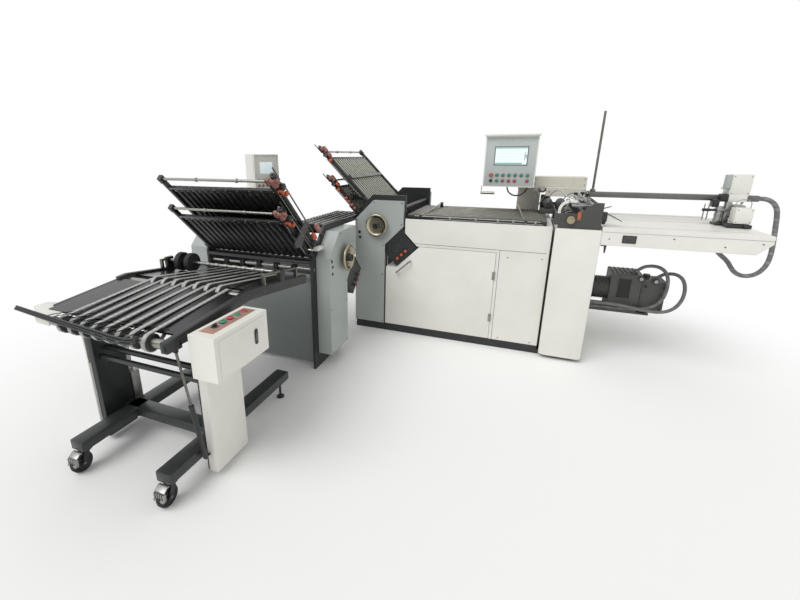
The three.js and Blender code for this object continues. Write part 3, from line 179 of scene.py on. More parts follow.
stretches = {"polishedDeckSheet": (1, 0.06, 1)}


# A fine surface grain, larger smudges in gloss and a slight drift of colour. The spans are the noise values
# over which the roughness and the worn colour come in, and the depth is the grain's height over its size
glossSpan, wornSpan, grainDepth = (0.3, 0.7), (0.42, 0.75), 0.2


def mapSpan(tree, value, span, to):
    limits = dict(zip(("From Min", "From Max", "To Min", "To Max"), (*span, *to)))
    return addNode(tree, "MapRange", limits, {"Value": value}).outputs["Result"]


def surfaceFinish(name, spec):
    colour, worn, wear, gloss, grainSize, smudgeSize, bumpStrength, _, shader = spec
    material, tree, surface, place = newMaterial(name, shader)
    mapped = addNode(tree, "Mapping", {"Scale": stretches.get(name, (1, 1, 1))}, {"Vector": place})
    grain = addNode(tree, "TexNoise", {"Scale": grainScale(grainSize), "Detail": 3, "Roughness": 0.55},
                    {"Vector": mapped.outputs["Vector"]})
    smudge = addNode(tree, "TexNoise", {"Scale": grainScale(smudgeSize), "Detail": 4, "Roughness": 0.6},
                     {"Vector": place}).outputs["Fac"]
    tree.links.new(mapSpan(tree, smudge, glossSpan, gloss), surface.inputs["Roughness"])
    mixColours(tree, surface, (colour, worn), mapSpan(tree, smudge, wornSpan, (0, wear)))
    bumpSurface(tree, surface, bumpStrength, grainSize * grainDepth, grain.outputs["Fac"])
    return material


made = {name: surfaceFinish(name, spec) for name, spec in finishes.items()}
slots = {name: spec[-2] for name, spec in finishes.items()}
waveScale = 1 / 20  # a wave turns 20 radians per metre at scale 1, so its bands lie 2 pi pitches apart


# Spun chrome of a hand wheel: rings round the wheel's own axis
def spunChrome(name, centre, ring, axis):
    material, tree, surface, place = newMaterial(name, {"Metallic": 1, "Roughness": 0.2})
    centred = addNode(tree, "Mapping", {"Location": [-c for c in centre]}, {"Vector": place})
    rings = addNode(tree, "TexWave", {"Scale": grainScale(ring) * waveScale, "Distortion": 0.4, "Detail": 2},
                    {"Vector": centred.outputs["Vector"]}, wave_type="RINGS", rings_direction=axis).outputs["Fac"]
    mixColours(tree, surface, ("#C2BAA4", "#A59C86"), rings)
    bumpSurface(tree, surface, 0.12, ring, rings)
    made[name], slots[name] = material, "wheel_metal"


# Woven polyamide belt, braided sleeve and ribbed air hose: crossing bands at the pitch of the weave
def wovenFinish(name, colours, roughness, pitch, axes):
    material, tree, surface, place = newMaterial(name, {"Roughness": roughness, "IOR": 1.5})
    bands = [addNode(tree, "TexWave", {"Scale": grainScale(pitch) * waveScale, "Distortion": 0.2},
                     {"Vector": place}, wave_type="BANDS", bands_direction=axis).outputs["Fac"] for axis in axes]
    height = addNode(tree, "Math", {}, dict(enumerate(bands)), operation="MULTIPLY").outputs[0]
    mixColours(tree, surface, colours, height)
    bumpSurface(tree, surface, 0.3, pitch * 0.3, height)
    made[name], slots[name] = material, "hose_grey"


wovenFinish("wovenBelt", ("#A4A6A2", "#C2C4C0"), 0.5, 0.004, ("X", "Y"))
wovenFinish("braidedSleeve", ("#6B6D6C", "#8E908F"), 0.6, 0.005, ("DIAGONAL", "Z"))
wovenFinish("airHose", ("#606261", "#727473"), 0.45, 0.006, ("DIAGONAL", "Y"))
print("materials made:", len(made))


def addObject(name, data, finish, body, replaced=None):
    item = linkObject(name, data)
    data.materials.append(made[finish])
    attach(item, body)
    if replaced:
        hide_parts(replaced)
    return item


def smoothCurve(name, radius, routes, sectionSteps, lengthSteps):
    # bent wire, tube or cord: smooth lines through the points, with a round section
    data = bpy.data.curves.new(name, "CURVE")
    data.dimensions = "3D"
    data.bevel_depth = radius * mm
    data.bevel_resolution = sectionSteps
    data.resolution_u = lengthSteps
    data.use_fill_caps = True
    for route in routes:
        line = data.splines.new("BEZIER")
        line.bezier_points.add(len(route) - 1)
        for point, at in zip(line.bezier_points, route):
            point.co = Vector(at) * mm
            point.handle_left_type = point.handle_right_type = "AUTO"
    return data


def makeWire(name, finish, radius, routes, body="machine"):
    addObject(name, smoothCurve(name, radius, routes, sectionSteps=3, lengthSteps=5), finish, body)


# Cords: the routes of the part's source
cords = {
    "conduit": {
        "node": "head_conduit", "finish": "braidedSleeve", "radius": 14, "length": 0.968,
        "route": [(x, 0, z) for x, z in (
            (1775.8, 1117), (1786, 1117), (1798, 1117), (1823, 1112), (1846, 1100), (1865, 1082), (1879, 1059),
            (1888, 1030), (1894, 995), (1900, 950), (1906, 900), (1912, 845), (1917, 790), (1918, 740),
            (1913, 697), (1900, 660), (1878, 630), (1848, 611), (1814, 605), (1781, 612), (1753, 631),
            (1731, 658), (1712, 686), (1690, 710), (1666, 731), (1643, 753), (1625, 779), (1615, 808),
            (1612, 828), (1612, 840.7))],
    },
    "pressure_hose": {
        "node": "pump_hose_pressure", "finish": "airHose", "radius": 11, "length": 0.868,
        "route": [(1145.5, -224, 625), (1154, -224, 633.5), (1162.5, -224, 642), (1186, -227, 661),
                  (1212, -236, 672), (1240, -246, 676), (1268, -255, 671), (1292, -262, 656),
                  (1310, -267, 631), (1321, -270, 598), (1326, -270, 560), (1326, -270, 520),
                  (1320, -270, 480), (1306, -270, 444), (1283, -270, 413), (1252, -270, 390),
                  (1214, -270, 377), (1165, -270, 371), (1100, -270, 368), (1030, -270, 366),
                  (950, -270, 365), (900, -270, 365), (861.8, -270, 365)],
    },
    "suction_hose": {
        "node": "pump_hose_suction", "finish": "airHose", "radius": 11, "length": 0.91,
        "route": [(1265, -224, 585), (1273.5, -224, 593.5), (1282, -224, 602), (1306, -228, 621),
                  (1330, -240, 631), (1354, -254, 635), (1376, -268, 629), (1394, -280, 614),
                  (1406, -290, 591), (1413, -297, 562), (1416, -301, 529), (1414, -302, 496),
                  (1406, -302, 462), (1391, -302, 430), (1368, -302, 404), (1338, -302, 386),
                  (1302, -302, 377), (1255, -302, 375), (1200, -302, 380), (1140, -302, 389),
                  (1080, -302, 396), (1010, -302, 400), (950, -302, 400), (900, -302, 400), (861.8, -302, 400)],
    },
}
for name, spec in cords.items():
    data = smoothCurve(name, spec["radius"], [spec["route"]], sectionSteps=6, lengthSteps=6)
    cord = addObject(name, data, spec["finish"], "machine", replaced=spec["node"])
print("cords made:", len(cords))


# Shapes made with mesh operators, in millimetres; points nearer than weld become one
still, weld = Matrix.Identity(4), 0.01
# edges over these angles are softened, joined from flat faces, bevelled on a node, or kept sharp in the shading
limits = {name: math.radians(angle) for name, angle in (
    ("soften", 50), ("flat", 0.5), ("bevel", 40), ("piece", 40), ("node", 30), ("rim", 50))}


def along(start, end):
    way = Vector(end) - Vector(start)
    return Matrix.Translation((Vector(start) + Vector(end)) / 2) @ way.to_track_quat("Z", "Y").to_matrix().to_4x4()


def softenEdges(bm, verts, width):
    if width:
        edges = {edge for vert in verts for edge in vert.link_edges if len(edge.link_faces) == 2}
        sharp = [edge for edge in edges if edge.calc_face_angle(0) > limits["soften"]]
        bmesh.ops.bevel(bm, geom=sharp, offset=width, offset_type="OFFSET", affect="EDGES", segments=2,
                        profile=0.5, material=-1, clamp_overlap=True)


def addBlock(bm, low, high, soft=0.0, place=still):
    low, high = Vector(low), Vector(high)
    size = Matrix.Diagonal((*(high - low), 1))
    verts = bmesh.ops.create_cube(bm, size=1, matrix=place @ Matrix.Translation((low + high) / 2) @ size)["verts"]
    softenEdges(bm, verts, soft)


def addRod(bm, start, end, radius, sides=16, soft=0.0, place=still):
    length = (Vector(end) - Vector(start)).length
    verts = bmesh.ops.create_cone(bm, cap_ends=True, cap_tris=False, segments=sides, radius1=radius, radius2=radius,
                                  depth=length, matrix=place @ along(start, end))["verts"]
    softenEdges(bm, verts, soft)


def addTurned(bm, profile, start, end, sides=32, place=still):
    # profile points are (radius, distance from start towards end)
    turned = bmesh.new()
    verts = [turned.verts.new((radius, 0, distance)) for radius, distance in profile]
    edges = [turned.edges.new(pair) for pair in zip(verts, verts[1:])]
    bmesh.ops.spin(turned, geom=verts + edges, cent=(0, 0, 0), axis=(0, 0, 1), dvec=(0, 0, 0),
                   angle=2 * math.pi, steps=sides, use_merge=True, use_duplicate=False)
    bmesh.ops.remove_doubles(turned, verts=turned.verts, dist=weld)
    way = Vector(end) - Vector(start)
    matrix = place @ Matrix.Translation(start) @ way.to_track_quat("Z", "Y").to_matrix().to_4x4()
    bmesh.ops.transform(turned, matrix=matrix, verts=turned.verts)
    shell = bpy.data.meshes.new("turned")
    turned.to_mesh(shell)
    turned.free()
    bm.from_mesh(shell)
    bpy.data.meshes.remove(shell)


def thicken(bm, faces, depth, matrix):
    base = {vert for face in faces for vert in face.verts}
    grown = bmesh.ops.extrude_face_region(bm, geom=faces)["geom"]
    top = [item for item in grown if isinstance(item, bmesh.types.BMVert)]
    bmesh.ops.translate(bm, vec=(0, 0, depth), verts=top)
    verts = list(base) + top
    bmesh.ops.transform(bm, matrix=matrix, verts=verts)
    return verts


def addPlate(bm, outline, depth, lay=still, soft=0.0, place=still):
    # an outline in the lay's x and y, as thick as depth along its z
    face = bm.faces.new([bm.verts.new((x, y, 0)) for x, y in outline])
    softenEdges(bm, thicken(bm, [face], depth, place @ lay), soft)


def addBand(bm, outer, inner, depth, lay=still, place=still):
    # a closed strap: the ring between two outlines, as wide as depth
    loops = []
    for outline in (outer, inner):
        verts = [bm.verts.new((x, y, 0)) for x, y in outline]
        loops += [bm.edges.new(pair) for pair in zip(verts, verts[1:] + verts[:1])]
    thicken(bm, bmesh.ops.bridge_loops(bm, edges=loops)["faces"], depth, place @ lay)


def addScrew(bm, head, way, radius=5, place=still):
    # a button head with a socket, proud of the face by half its radius
    profile = [(0, 0.2), (0.45, 0.2), (0.5, 0.55), (0.8, 0.45), (1, 0.1), (1, -0.1), (0, -0.1)]
    addTurned(bm, [(radius * a, radius * b) for a, b in profile], head,
              Vector(head) + Vector(way).normalized() * radius, 12, place)


shapeMakers = {"block": addBlock, "rod": addRod, "turned": addTurned, "plate": addPlate, "band": addBand,
               "screw": addScrew}
right, front, up = (1, 0, 0), (0, -1, 0), (0, 0, 1)


def facingX(x, y=0, z=0):
    # lays an outline's x on Y and its y on Z, thick towards +X
    return Matrix.Translation((x, y, z)) @ Matrix(((0, 0, 1, 0), (1, 0, 0, 0), (0, 1, 0, 0), (0, 0, 0, 1)))


def facingY(y, x=0, z=0):
    # lays an outline's x on X and its y on Z, thick towards -Y
    return Matrix.Translation((x, y, z)) @ Matrix(((1, 0, 0, 0), (0, 0, -1, 0), (0, 1, 0, 0), (0, 0, 0, 1)))


# Lists of one kind of shape: a block's six numbers are its low and high corner, a line's its two ends
def blocks(soft, *boxes):
    return [("block", box[:3], box[3:], soft) for box in boxes]


def rods(radius, sides, soft, *lines):
    return [("rod", line[:3], line[3:], radius, sides, soft) for line in lines]


def turns(profile, sides, *lines):
    return [("turned", profile, line[:3], line[3:], sides) for line in lines]


def screws(way, radius, *heads):
    return [("screw", head, way, radius) for head in heads]


def grid(xs, y, zs):
    return [(x, y, z) for x in xs for z in zs]


def pin(radius, end, start=0, cut=1):
    # profile of a plain round bar with cut edges
    return [(0, start), (radius - cut, start), (radius, start + cut), (radius, end - cut), (radius - cut, end),
            (0, end)]


def ribbed(radius, long, ribs):
    # profile of a knob turned with round waists
    step = long / ribs
    profile = [(0, 0), (radius - 3, 0)]
    for i in range(ribs):
        profile += [(radius, step * (i + 0.3)), (radius, step * (i + 0.7)), (radius - 2.5, step * (i + 1))]
    return profile + [(0, long)]


def arc(centre, radius, start, end, steps=10):
    angles = [math.radians(start + (end - start) * i / steps) for i in range(steps + 1)]
    return [(centre[0] + radius * math.cos(a), centre[1] + radius * math.sin(a)) for a in angles]


def towards(profile, place, way):
    return ("turned", profile, place, tuple(a + b for a, b in zip(place, way)), 28)


def button(place, way, radius, rise):
    # a low dome on a short skirt
    return towards([(0, rise), (radius * 0.7, rise), (radius * 0.93, rise - 1), (radius, rise - 2.4), (radius, 0),
                    (0, 0)], place, way)


def collar(place, way, radius):
    # the ring round a button
    return towards([(radius, 0), (radius + 3.4, 0), (radius + 3.8, 1), (radius + 3, 2.6), (radius + 0.6, 3),
                    (radius, 2.4), (radius, 0)], place, way)


def finishPiece(name, bm, finish, body, replaced, kind="piece"):
    bmesh.ops.recalc_face_normals(bm, faces=bm.faces)
    mesh = bpy.data.meshes.new(name)
    bm.to_mesh(mesh)
    bm.free()
    piece = addObject(name, mesh, finish, body, replaced)
    mesh.shade_smooth()
    mesh.set_sharp_from_angle(angle=limits[kind])
    return piece


def makePiece(name, finish, shapes, place=still, body="machine", replaced=None):
    bm = bmesh.new()
    for kind, *values in shapes:
        shapeMakers[kind](bm, *values, place=place)
    bmesh.ops.scale(bm, vec=(mm, mm, mm), verts=bm.verts)
    return finishPiece(name, bm, finish, body, replaced)


# A copy of a CAD node with its flat faces joined and its edges softened
def softenedNode(node, finish, width, slot=None):
    bm = bmesh.new()
    bm.from_mesh(frame["nodes"][node].data)
    bmesh.ops.remove_doubles(bm, verts=bm.verts, dist=weld * mm)
    bmesh.ops.dissolve_limit(bm, angle_limit=limits["flat"], verts=bm.verts, edges=bm.edges)
    piece = finishPiece(node + "_body", bm, finish, nodeBody[node], node, "node")
    bevel = piece.modifiers.new("soft edges", "BEVEL")
    bevel.width = width * mm
    bevel.segments = 2
    bevel.limit_method = "ANGLE"
    bevel.angle_limit = limits["bevel"]
    bevel.harden_normals = True


softened = [
    ("main_base", "blackPowderCoat", 2), ("cabinet_shell", "whitePowderCoat", 3),
    ("end_housing", "whitePowderCoat", 4), ("feed_table", "whitePowderCoat", 4),
    ("feeder_frame", "charcoalPowderCoat", 1.5), ("feeder_lever", "orangeAbs", 2),
    ("feeder_housing", "creamPowderCoat", 3), ("vacuum_pump", "castEnamel", 4),
    ("control_panel", "whitePowderCoat", 3), ("frame_1_operator_side", "blackPowderCoat", 1.5),
    ("frame_1_drive_side", "blackPowderCoat", 1.5), ("casing_1_operator_side", "greyPowderCoat", 2),
    ("gear_casing_1", "charcoalPowderCoat", 1.5), ("lower_plate_1", "blackPowderCoat", 1.5),
    ("frame_2_operator_side", "blackPowderCoat", 1.5), ("frame_2_drive_side", "blackPowderCoat", 1.5),
    ("casing_2_operator_side", "greyPowderCoat", 2), ("gear_casing_2", "greyPowderCoat", 2),
    ("lower_plate_2", "blackPowderCoat", 1.5), ("front_panel", "panelPowderCoat", 1.5),
    ("second_control_panel", "whitePowderCoat", 3), ("control_box", "whitePowderCoat", 3),
    ("castor_fork_left", "blackPowderCoat", 1, "bright_steel"),
    ("castor_fork_right", "blackPowderCoat", 1, "bright_steel"),
    *[("stop_bar_" + plate, "darkSteel", 1) for plate in ("1a", "1b", "2a", "2b")],
]
for values in softened:
    softenedNode(*values)
print("softened nodes:", len(softened))

# Fold units: hand wheel, rollers, buckle plates, screws of the casings; plates give length and offset, seen is
# the side that the camera sees, and levels are the faces of bars, of the near-black sheet behind them (painted
# shade in the gaps) and of the screws from the offset
units = {
    1: {"place": Matrix.Translation((-652.5, -450, 0)), "wheel": 873, "lead": 188, "casing": 40, "seen": 1,
        "plates": {"a": (503, -57), "b": (300, -167)}, "grille": "phosphatedSteel", "sheet": "paintedGapShadeBlack",
        "levels": (-2, 4, -3, -1, 4.3), "beads": {"b": [170, 135, 100, 66]}, "lower": "orangeAbs",
        "screws": [(-172, 80), (45, 80), (-172, 480), (45, 480), (45, 712), (190, 885), (190, 1046), (-30, 1046),
                   (-174, 902)],
        "holes": [(-152, 809), (-147, 768)]},
    # the second unit's grille finish is painted shade: the same bars as the first unit's, made near black
    2: {"place": Matrix.Translation((-706, -969, 0)) @ Matrix.Rotation(math.pi / 2, 4, "Z"), "wheel": 730,
        "lead": 227, "casing": 98, "seen": -1, "plates": {"a": (560, -135), "b": (400, -223)},
        "grille": "blackSteelAndPaintedShade", "sheet": "blackPowderCoat", "levels": (-6, 3, 1, 3, -13), "beads": {},
        # ribs: faces of thin lighter strips along one edge of each bar, a painted highlight
        "ribs": (-7, -5.5), "lower": "rosewoodAbs",
        "screws": [(-212, 116), (32, 116), (-212, 420), (32, 420), (32, 556), (190, 742), (190, 902), (-62, 902),
                   (-212, 756)],
        "holes": [(-187, 705), (-189, 659), (-196, 742)]},
}
wheelRim = [(25, 25), (60, 23.5), (70, 20), (75, 16.5), (80, 16), (85.5, 18.5), (88, 23), (88, 28), (85, 31),
            (76, 32.5), (60, 33.5), (25, 37), (25, 25)]
wheelHub = [(0, 9), (9, 9), (10, 0.8), (11, 0), (21, 0), (24, 2.5), (25.5, 24), (26.5, 26), (26.5, 37), (12, 40)]
plugHead = [(0, 0.8), (7, 0.8), (8, 1.6), (11, 1.4), (12, 0), (12, -0.5), (0, -0.5)]
wheelOut, ringPitch = 58, 0.003
roller = {"radius": 26, "shaft": 12, "near": 16, "far": 814, "end": 829.5, "grooves": 7}
nip = (2 * roller["radius"] + 1) * math.sqrt(0.5)
bars = {"pitch": 754 / 17, "count": 16, "half": 11, "screws": 10}


def rollerProfile():
    # plain ends, then a body with shallow grooves between its bands
    radius, shaft, near, far, end = (roller[key] for key in ("radius", "shaft", "near", "far", "end"))
    profile = [(0, 0.5), (shaft - 1, 0.5), (shaft, 1.5), (shaft, near), (radius - 1, near), (radius, near + 1)]
    for i in range(1, roller["grooves"] + 1):
        at = near + (far - near) * i / (roller["grooves"] + 1)
        profile += [(radius, at - 4), (radius - 2, at - 3), (radius - 2, at + 3), (radius, at + 4)]
    return profile + [(radius, far - 1), (radius - 1, far), (shaft, far), (shaft, end - 1), (shaft - 1, end),
                      (0, end)]


def makeFoldUnit(n, unit):
    place, wheel, near = unit["place"], unit["wheel"], unit["casing"] + 0.3
    drive, chrome = f"fold_drive_{n}", f"spunChrome{n}"
    axle = (0, -wheelOut, wheel, 0, 0, wheel)
    spunChrome(chrome, place @ Vector((0, 0, wheel)) * mm, ringPitch, "YX"[n - 1])
    rim = makePiece(f"wheel_{n}_rim", chrome, turns(wheelRim, 64, axle), place, drive, f"hand_wheel_{n}")
    rim.data.set_sharp_from_angle(angle=limits["rim"])
    bolts = [(18 * math.cos(a), -wheelOut, wheel + 18 * math.sin(a)) for a in (0.5, 2.6, 4.7)]
    makePiece(f"wheel_{n}_hub", "blackPowderCoat",
              turns(wheelHub + [(12, 56 + near), (0, 56 + near)], 32, axle) + screws(front, 2.5, *bolts), place, drive)
    for letter, x, z, body in (("a", 0, wheel, drive), ("b", -nip, wheel - nip, f"lower_roller_{n}")):
        makePiece(f"roller_{n}{letter}", "groundSteel", turns(rollerProfile(), 32, (x, near, z, x, near + 830, z)),
                  place, body, f"fold_roller_{n}{letter}")
    makePiece(f"casing_{n}_screws", "darkSteel", screws(front, 5, *[(x, 0, z) for x, z in unit["screws"]]), place)
    makePiece(f"casing_{n}_plugs", "blackNylon",
              turns(plugHead, 20, *[(x, 0, z, x, -1, z) for x, z in unit["holes"]]), place)
    for letter, (length, offset) in unit["plates"].items():
        makeBucklePlate(n, letter, unit, length, offset, near)


def makeBucklePlate(n, letter, unit, length, offset, near):
    name = f"plate_{n}{letter}"
    place = (unit["place"] @ Matrix.Translation((150 - unit["lead"], 0, unit["wheel"] + 187))
             @ Matrix.Rotation(-math.pi / 4, 4, "Y"))
    start, end = near + 16, near + 814
    centres = [start + 22 + bars["pitch"] * i for i in range(1, bars["count"] + 1)]
    # the sheet stop slides on the +X side, so nothing there stands over the bars
    barLow, barHigh, shadeSheetLow, shadeSheetHigh, strip = [offset + at for at in unit["levels"]]
    makePiece(name + "_grille", unit["grille"],
              blocks(1.5, *[(barLow, y - bars["half"], -8, barHigh, y + bars["half"], length) for y in centres]),
              place, replaced=f"fold_plate_{n}{letter}")
    # a near-black sheet behind the bars: painted shade seen through the gaps between them
    makePiece(name + "_sheet", unit["sheet"], blocks(0, (shadeSheetLow, start + 21, -8, shadeSheetHigh, end - 21, length)), place)
    # thin lighter strips along one edge of the second unit's bars: painted highlight
    if "ribs" in unit:
        low, high = [offset + at for at in unit["ribs"]]
        makePiece(name + "_ribs", "darkSteel",
                  blocks(0.5, *[(low, y + 6, 4, high, y + 10, length - 20) for y in centres]), place)
    low, high = offset - 13, offset + 13
    makePiece(name + "_frame", "blackPowderCoat",
              blocks(1.5, *[(low, y, -8, high, y + 22, length + 68) for y in (start, end - 22)])
              + blocks(1, *[(low, start + 8, z, offset + 4.3, end - 8, z + 20) for z in (-8, length - 20)])
              + blocks(2, *[(low, y, 40.3, high, y + 23, 76.3) for y in (near, near + 807)],
                       (low, near, length - 18, high, start + 8, length + 68))
              + blocks(3, (offset - 17, end - 26, length + 34, offset + 17, end + 3, length + 78)), place)
    rod = length + 60
    fittings = turns(pin(8, 781), 20, (offset, start + 8, rod, offset, end, rod))
    fittings += rods(3.5, 12, 0, (offset - 18, start + 11, 90, offset - 18, start + 11, length + 40))
    fittings += turns([(9, 0), (12, 1), (12, 11), (9, 12)], 20,
                      *[(offset, y, rod, offset, y + 12, rod) for y in (start + 240, start + 520)])
    fittings += screws((unit["seen"], 0, 0), 4.5,
                       *[(strip, start + 40 + i * 80, length - 10) for i in range(bars["screws"])])
    if "ribs" in unit:
        fittings += blocks(0.8, *[(offset - 8, y + 15, length - 42 - (60 if i < 4 else 0), offset - 6, y + 22,
                                   length - 30) for i, y in enumerate(centres)])
    makePiece(name + "_rods", "groundSteel", fittings, place)
    makeKnobs(name, unit, place, offset, near, length)


def makeKnobs(name, unit, place, offset, near, length):
    # adjusting head at the operator end: castings, ribbed knobs, dials, thin screw
    seen, beads = unit["seen"], unit["beads"].get(name[-1], [])
    face, low = offset + seen * 14, offset - seen * 12
    castings = blocks(5, (offset - 15, near - 8, length + 4, offset + 15, near + 62, length + 44))
    castings += blocks(6, (offset - 10, near + 30, length + 40, offset + 10, near + 78, length + 74))
    castings += rods(15, 20, 3, (offset, near + 10, length + 40, offset, near + 10, length + 112))
    castings += turns(ribbed(16, 14, 2), 20, (offset, near - 8, length + 26, offset, near - 22, length + 26))
    castings += rods(3.5, 10, 1, (low, near - 6, length + 60, low, near - 6, length + 150))
    castings += rods(9, 18, 2, (face + seen * 16, near + 2, length + 2, face + seen * 21, near + 2, length + 2))
    if beads:
        castings += blocks(6, (offset - 20, near - 30, 8, offset + 26, near + 8, 112))
    makePiece(name + "_castings", "blackNylon", castings, place)
    makePiece(name + "_knobs", "rosewoodAbs",
              [shape for radius, long, ribs, y, z in ((19, 52, 3, 14, 40), (14, 40, 3, 42, 56), (12, 26, 2, -12, 64))
               for shape in turns(ribbed(radius, long, ribs), 14,
                                  (face, near + y, length + z, face, near + y, length + z + long))], place)
    makePiece(name + "_dials", "orangeAbs",
              turns(ribbed(19, 16, 1), 18, (face, near + 2, length + 2, face + seen * 16, near + 2, length + 2))
              + blocks(4, (offset - 12, near - 16, length - 44, offset + 12, near + 4, length - 22)), place)
    makePiece(name + "_screw_blocks", "oiledSteel",
              blocks(2, (offset - 11, near - 24, length + 8, offset + 11, near - 6, length + 20))
              + turns(ribbed(8, 12, 1), 6, (offset, near + 10, length + 112, offset, near + 10, length + 124))
              + rods(4.5, 12, 1, (low, near - 12, 96, low, near - 12, length - 6)), place)
    for finish, places in (("orangeAbs", beads[::2]), ("rosewoodAbs", beads[1::2])):
        if places:
            makePiece(f"{name}_{finish}_beads", finish,
                      turns(ribbed(12, 34, 2), 14, *[(offset, near - 4, z, offset + seen * 10, near - 38, z)
                                                     for z in places]), place)


for n, unit in units.items():
    makeFoldUnit(n, unit)
print("fold units dressed")

# Crossing table between the units
(x0, x1), (y0, y1), (z0, z1) = (-1084.8, -840.8), (-960, -250), (900, 940)
rail, barCount = 24, 4
makePiece("crossing_rails", "blackPowderCoat",
          blocks(2, (x0, y0, z0, x0 + rail, y1, z1), (x1 - rail, y0, z0, x1, y1, z1), (x0, y0, z0, x1, y0 + rail, z1),
                 (x0, y1 - rail, z0, x1, y1, z1), (x1 - 2, y0, z0, x1 + 36, y0 + 70, z1)), replaced="crossing_table")
xs = [x0 + i * (x1 - x0) / (barCount + 1) for i in range(1, barCount + 1)]
makePiece("crossing_rods", "groundSteel", rods(7, 12, 0.8, *[(x, y0 + 10, z1 - 4, x, y1 - 10, z1 - 4) for x in xs]))
makePiece("crossing_plate", "castAluminium",
          blocks(0, (x0 + 22, y0 + 22, z1 - 22, x1 - 22, y1 - 22, z1 - 20))
          + blocks(2, (x0 + 6, y0 + 40, z1 - 2, x0 + 16, y1 - 30, z1 + 6)))
ballX, ballYs = x0 + 34, [y0 + 60 + 46 * i for i in range(13)]
makePiece("crossing_balls", "castAluminium",
          turns([(0, 0), (6, 1), (8, 4), (8, 8), (6, 11), (0, 12)], 14,
                *[(ballX, y, z1 - 2, ballX, y, z1 + 10) for y in ballYs]))

# Outlet shaft of the second unit with its paper collars, front panel screws, front rods and guard strip
y, z = -1218, 694
makePiece("outlet_shaft", "groundSteel", turns(pin(12, 829.5, 0.5), 24, (-1634, y, z, -804, y, z)),
          body="outlet_shaft", replaced="exit_shaft")
grooved = [(12, 0), (22, 0), (24, 2), (24, 12), (21, 15), (24, 18), (24, 28), (22, 30), (12, 30), (12, 0)]
xs = [-1619.3 + i * 800 / 6 for i in range(1, 6)]
makePiece("outlet_collars", "blackRubber", turns(grooved, 28, *[(x - 15, y, z, x + 15, y, z) for x in xs]),
          body="outlet_shaft")
makePiece("front_panel_screws", "darkSteel", screws(front, 5, *grid((-1590, -1212, -834), -1210, (60, 610))))
makePiece("front_rods", "groundSteel", rods(7, 16, 1, (-1618, -1214, 768, -806, -1214, 768))
          + rods(5, 16, 1, (-1618, -1222, 738, -806, -1222, 738)))
makePiece("front_rod_collars", "blackPowderCoat",
          turns([(5, 0), (11, 0), (13, 2), (13, 16), (11, 18), (5, 18), (5, 0)], 20,
                *[(x, -1222, 738, x + 18, -1222, 738) for x in range(-1560, -909, 130)]))
makePiece("front_guard", "panelPowderCoat",
          blocks(1.5, (-1618, -1246, 645, -806, -1240, 668), (-1618, -1246, 640, -806, -1222, 645)))

# Delivery: rails, plates, rollers with their pulleys, belts; the deck rises to its ridge over the middle roller
deckLow, deckHigh, ridge, nearEnd, farEnd = -1572, -762, -1945, -2444, -1404
nearSpan, farSpan, pitch, beltWide, pulleyHalf = (-2366, -1989), (-1901, farEnd), 69.5, 20, 13
near, middle = (-2404, 700.7), (ridge, 749)
nearBelt, middleBelt, infeedBelt = 36, 24, 39
beltLines = [-1375 + pitch * i for i in range(8)]
between = [x + pitch / 2 for x in beltLines[:-1]]
railXs = (deckLow, deckHigh - 26)


def deckTop(y):
    return 773 - (ridge - y) * 50 / 507 if y < ridge else 773 - (y - ridge) * 69 / 545


def railSide(start, rise):
    # a rail's side: its top stands over the sheet by rise, its bottom lies 38 under the sheet
    ys, taper = (start, ridge, farEnd), start + 130
    return ([(y, deckTop(y) + rise) for y in ys] + [(y, deckTop(y) - 38) for y in (farEnd, ridge, taper)]
            + [(start, deckTop(start) - 22)])


makePiece("deck_rails", "blackPowderCoat",
          [("plate", railSide(nearEnd, 12), 26, facingX(railXs[1]), 1.5),
           ("plate", railSide(-2330, 0.5), 26, facingX(deckLow), 1),
           ("plate", [(y, deckTop(y) - 38) for y in (-2000, farEnd)]
            + [(y, deckTop(y) + 12) for y in (farEnd, ridge, -2000)], 27, facingX(deckLow - 0.5), 1)]
          + blocks(2, *[(deckLow, y, 690.3, deckHigh, y + 50, 715.3) for y in (-2290, -2118)],
                   *[(a, -2290, 690.3, b, -2068, 715.3) for a, b in ((-1486, -1426), (-807, deckHigh))])
          + blocks(3, *[(x, -2414, 686, x + 26, -2372, 714) for x in railXs],
                   *[(x, -1674, 744, x + 26, -1626, 812) for x in railXs]), replaced="delivery_deck")
makePiece("deck_fingers", "blackPowderCoat",
          blocks(1, *[(x + 14.5, -2412, 722, x + pitch - 14.5, -2364, 725) for x in beltLines[:-1]]))
makePiece("deck_sheets", "polishedDeckSheet",
          [("plate", [(a, deckTop(a) - 8), (b, deckTop(b) - 8), (b, deckTop(b) + 1), (a, deckTop(a) + 1)], 758,
            facingX(-1546)) for a, b in (nearSpan, farSpan)])


def pulleys(belt, centre, xs):
    r = belt - 0.6
    profile = [(10, 0), (r - 2, 0), (r, 1.5), (r, 3), (r - 1.5, 4), (r - 1.2, 13), (r - 1.5, 22), (r, 23), (r, 24.5),
               (r - 2, 26), (10, 26), (10, 0)]
    return turns(profile, 32, *[(x - pulleyHalf, *centre, x + pulleyHalf, *centre) for x in xs])


for name, centre, belt, r in (("near", near, nearBelt, 20), ("middle", middle, middleBelt, 17)):
    body = "delivery_" + name
    profile = [(0, 0.5), (9, 0.5), (10, 1.5), (10, 27), (r, 27.5), (r, 782.5), (10, 783), (10, 808.5), (9, 809.5),
               (0, 809.5)]
    makePiece(name + "_shaft", "groundSteel", turns(profile, 32, (deckLow, *centre, deckHigh, *centre)), body=body,
              replaced=name + "_roller")
    makePiece(name + "_pulleys", "blackNylon", pulleys(belt, centre, beltLines), body=body)
makePiece("infeed_pulleys", "blackNylon", pulleys(infeedBelt, middle, between), body="delivery_middle")


# Side views of the belts' loops, with the lower run lifted clear of the cross beams
def deckLoop(grow):
    return (arc(middle, middleBelt + grow, 92, -80) + [(-1985, 729 - grow), (-2320, 722 - grow)]
            + arc(near, nearBelt + grow, 300, 94, 16))


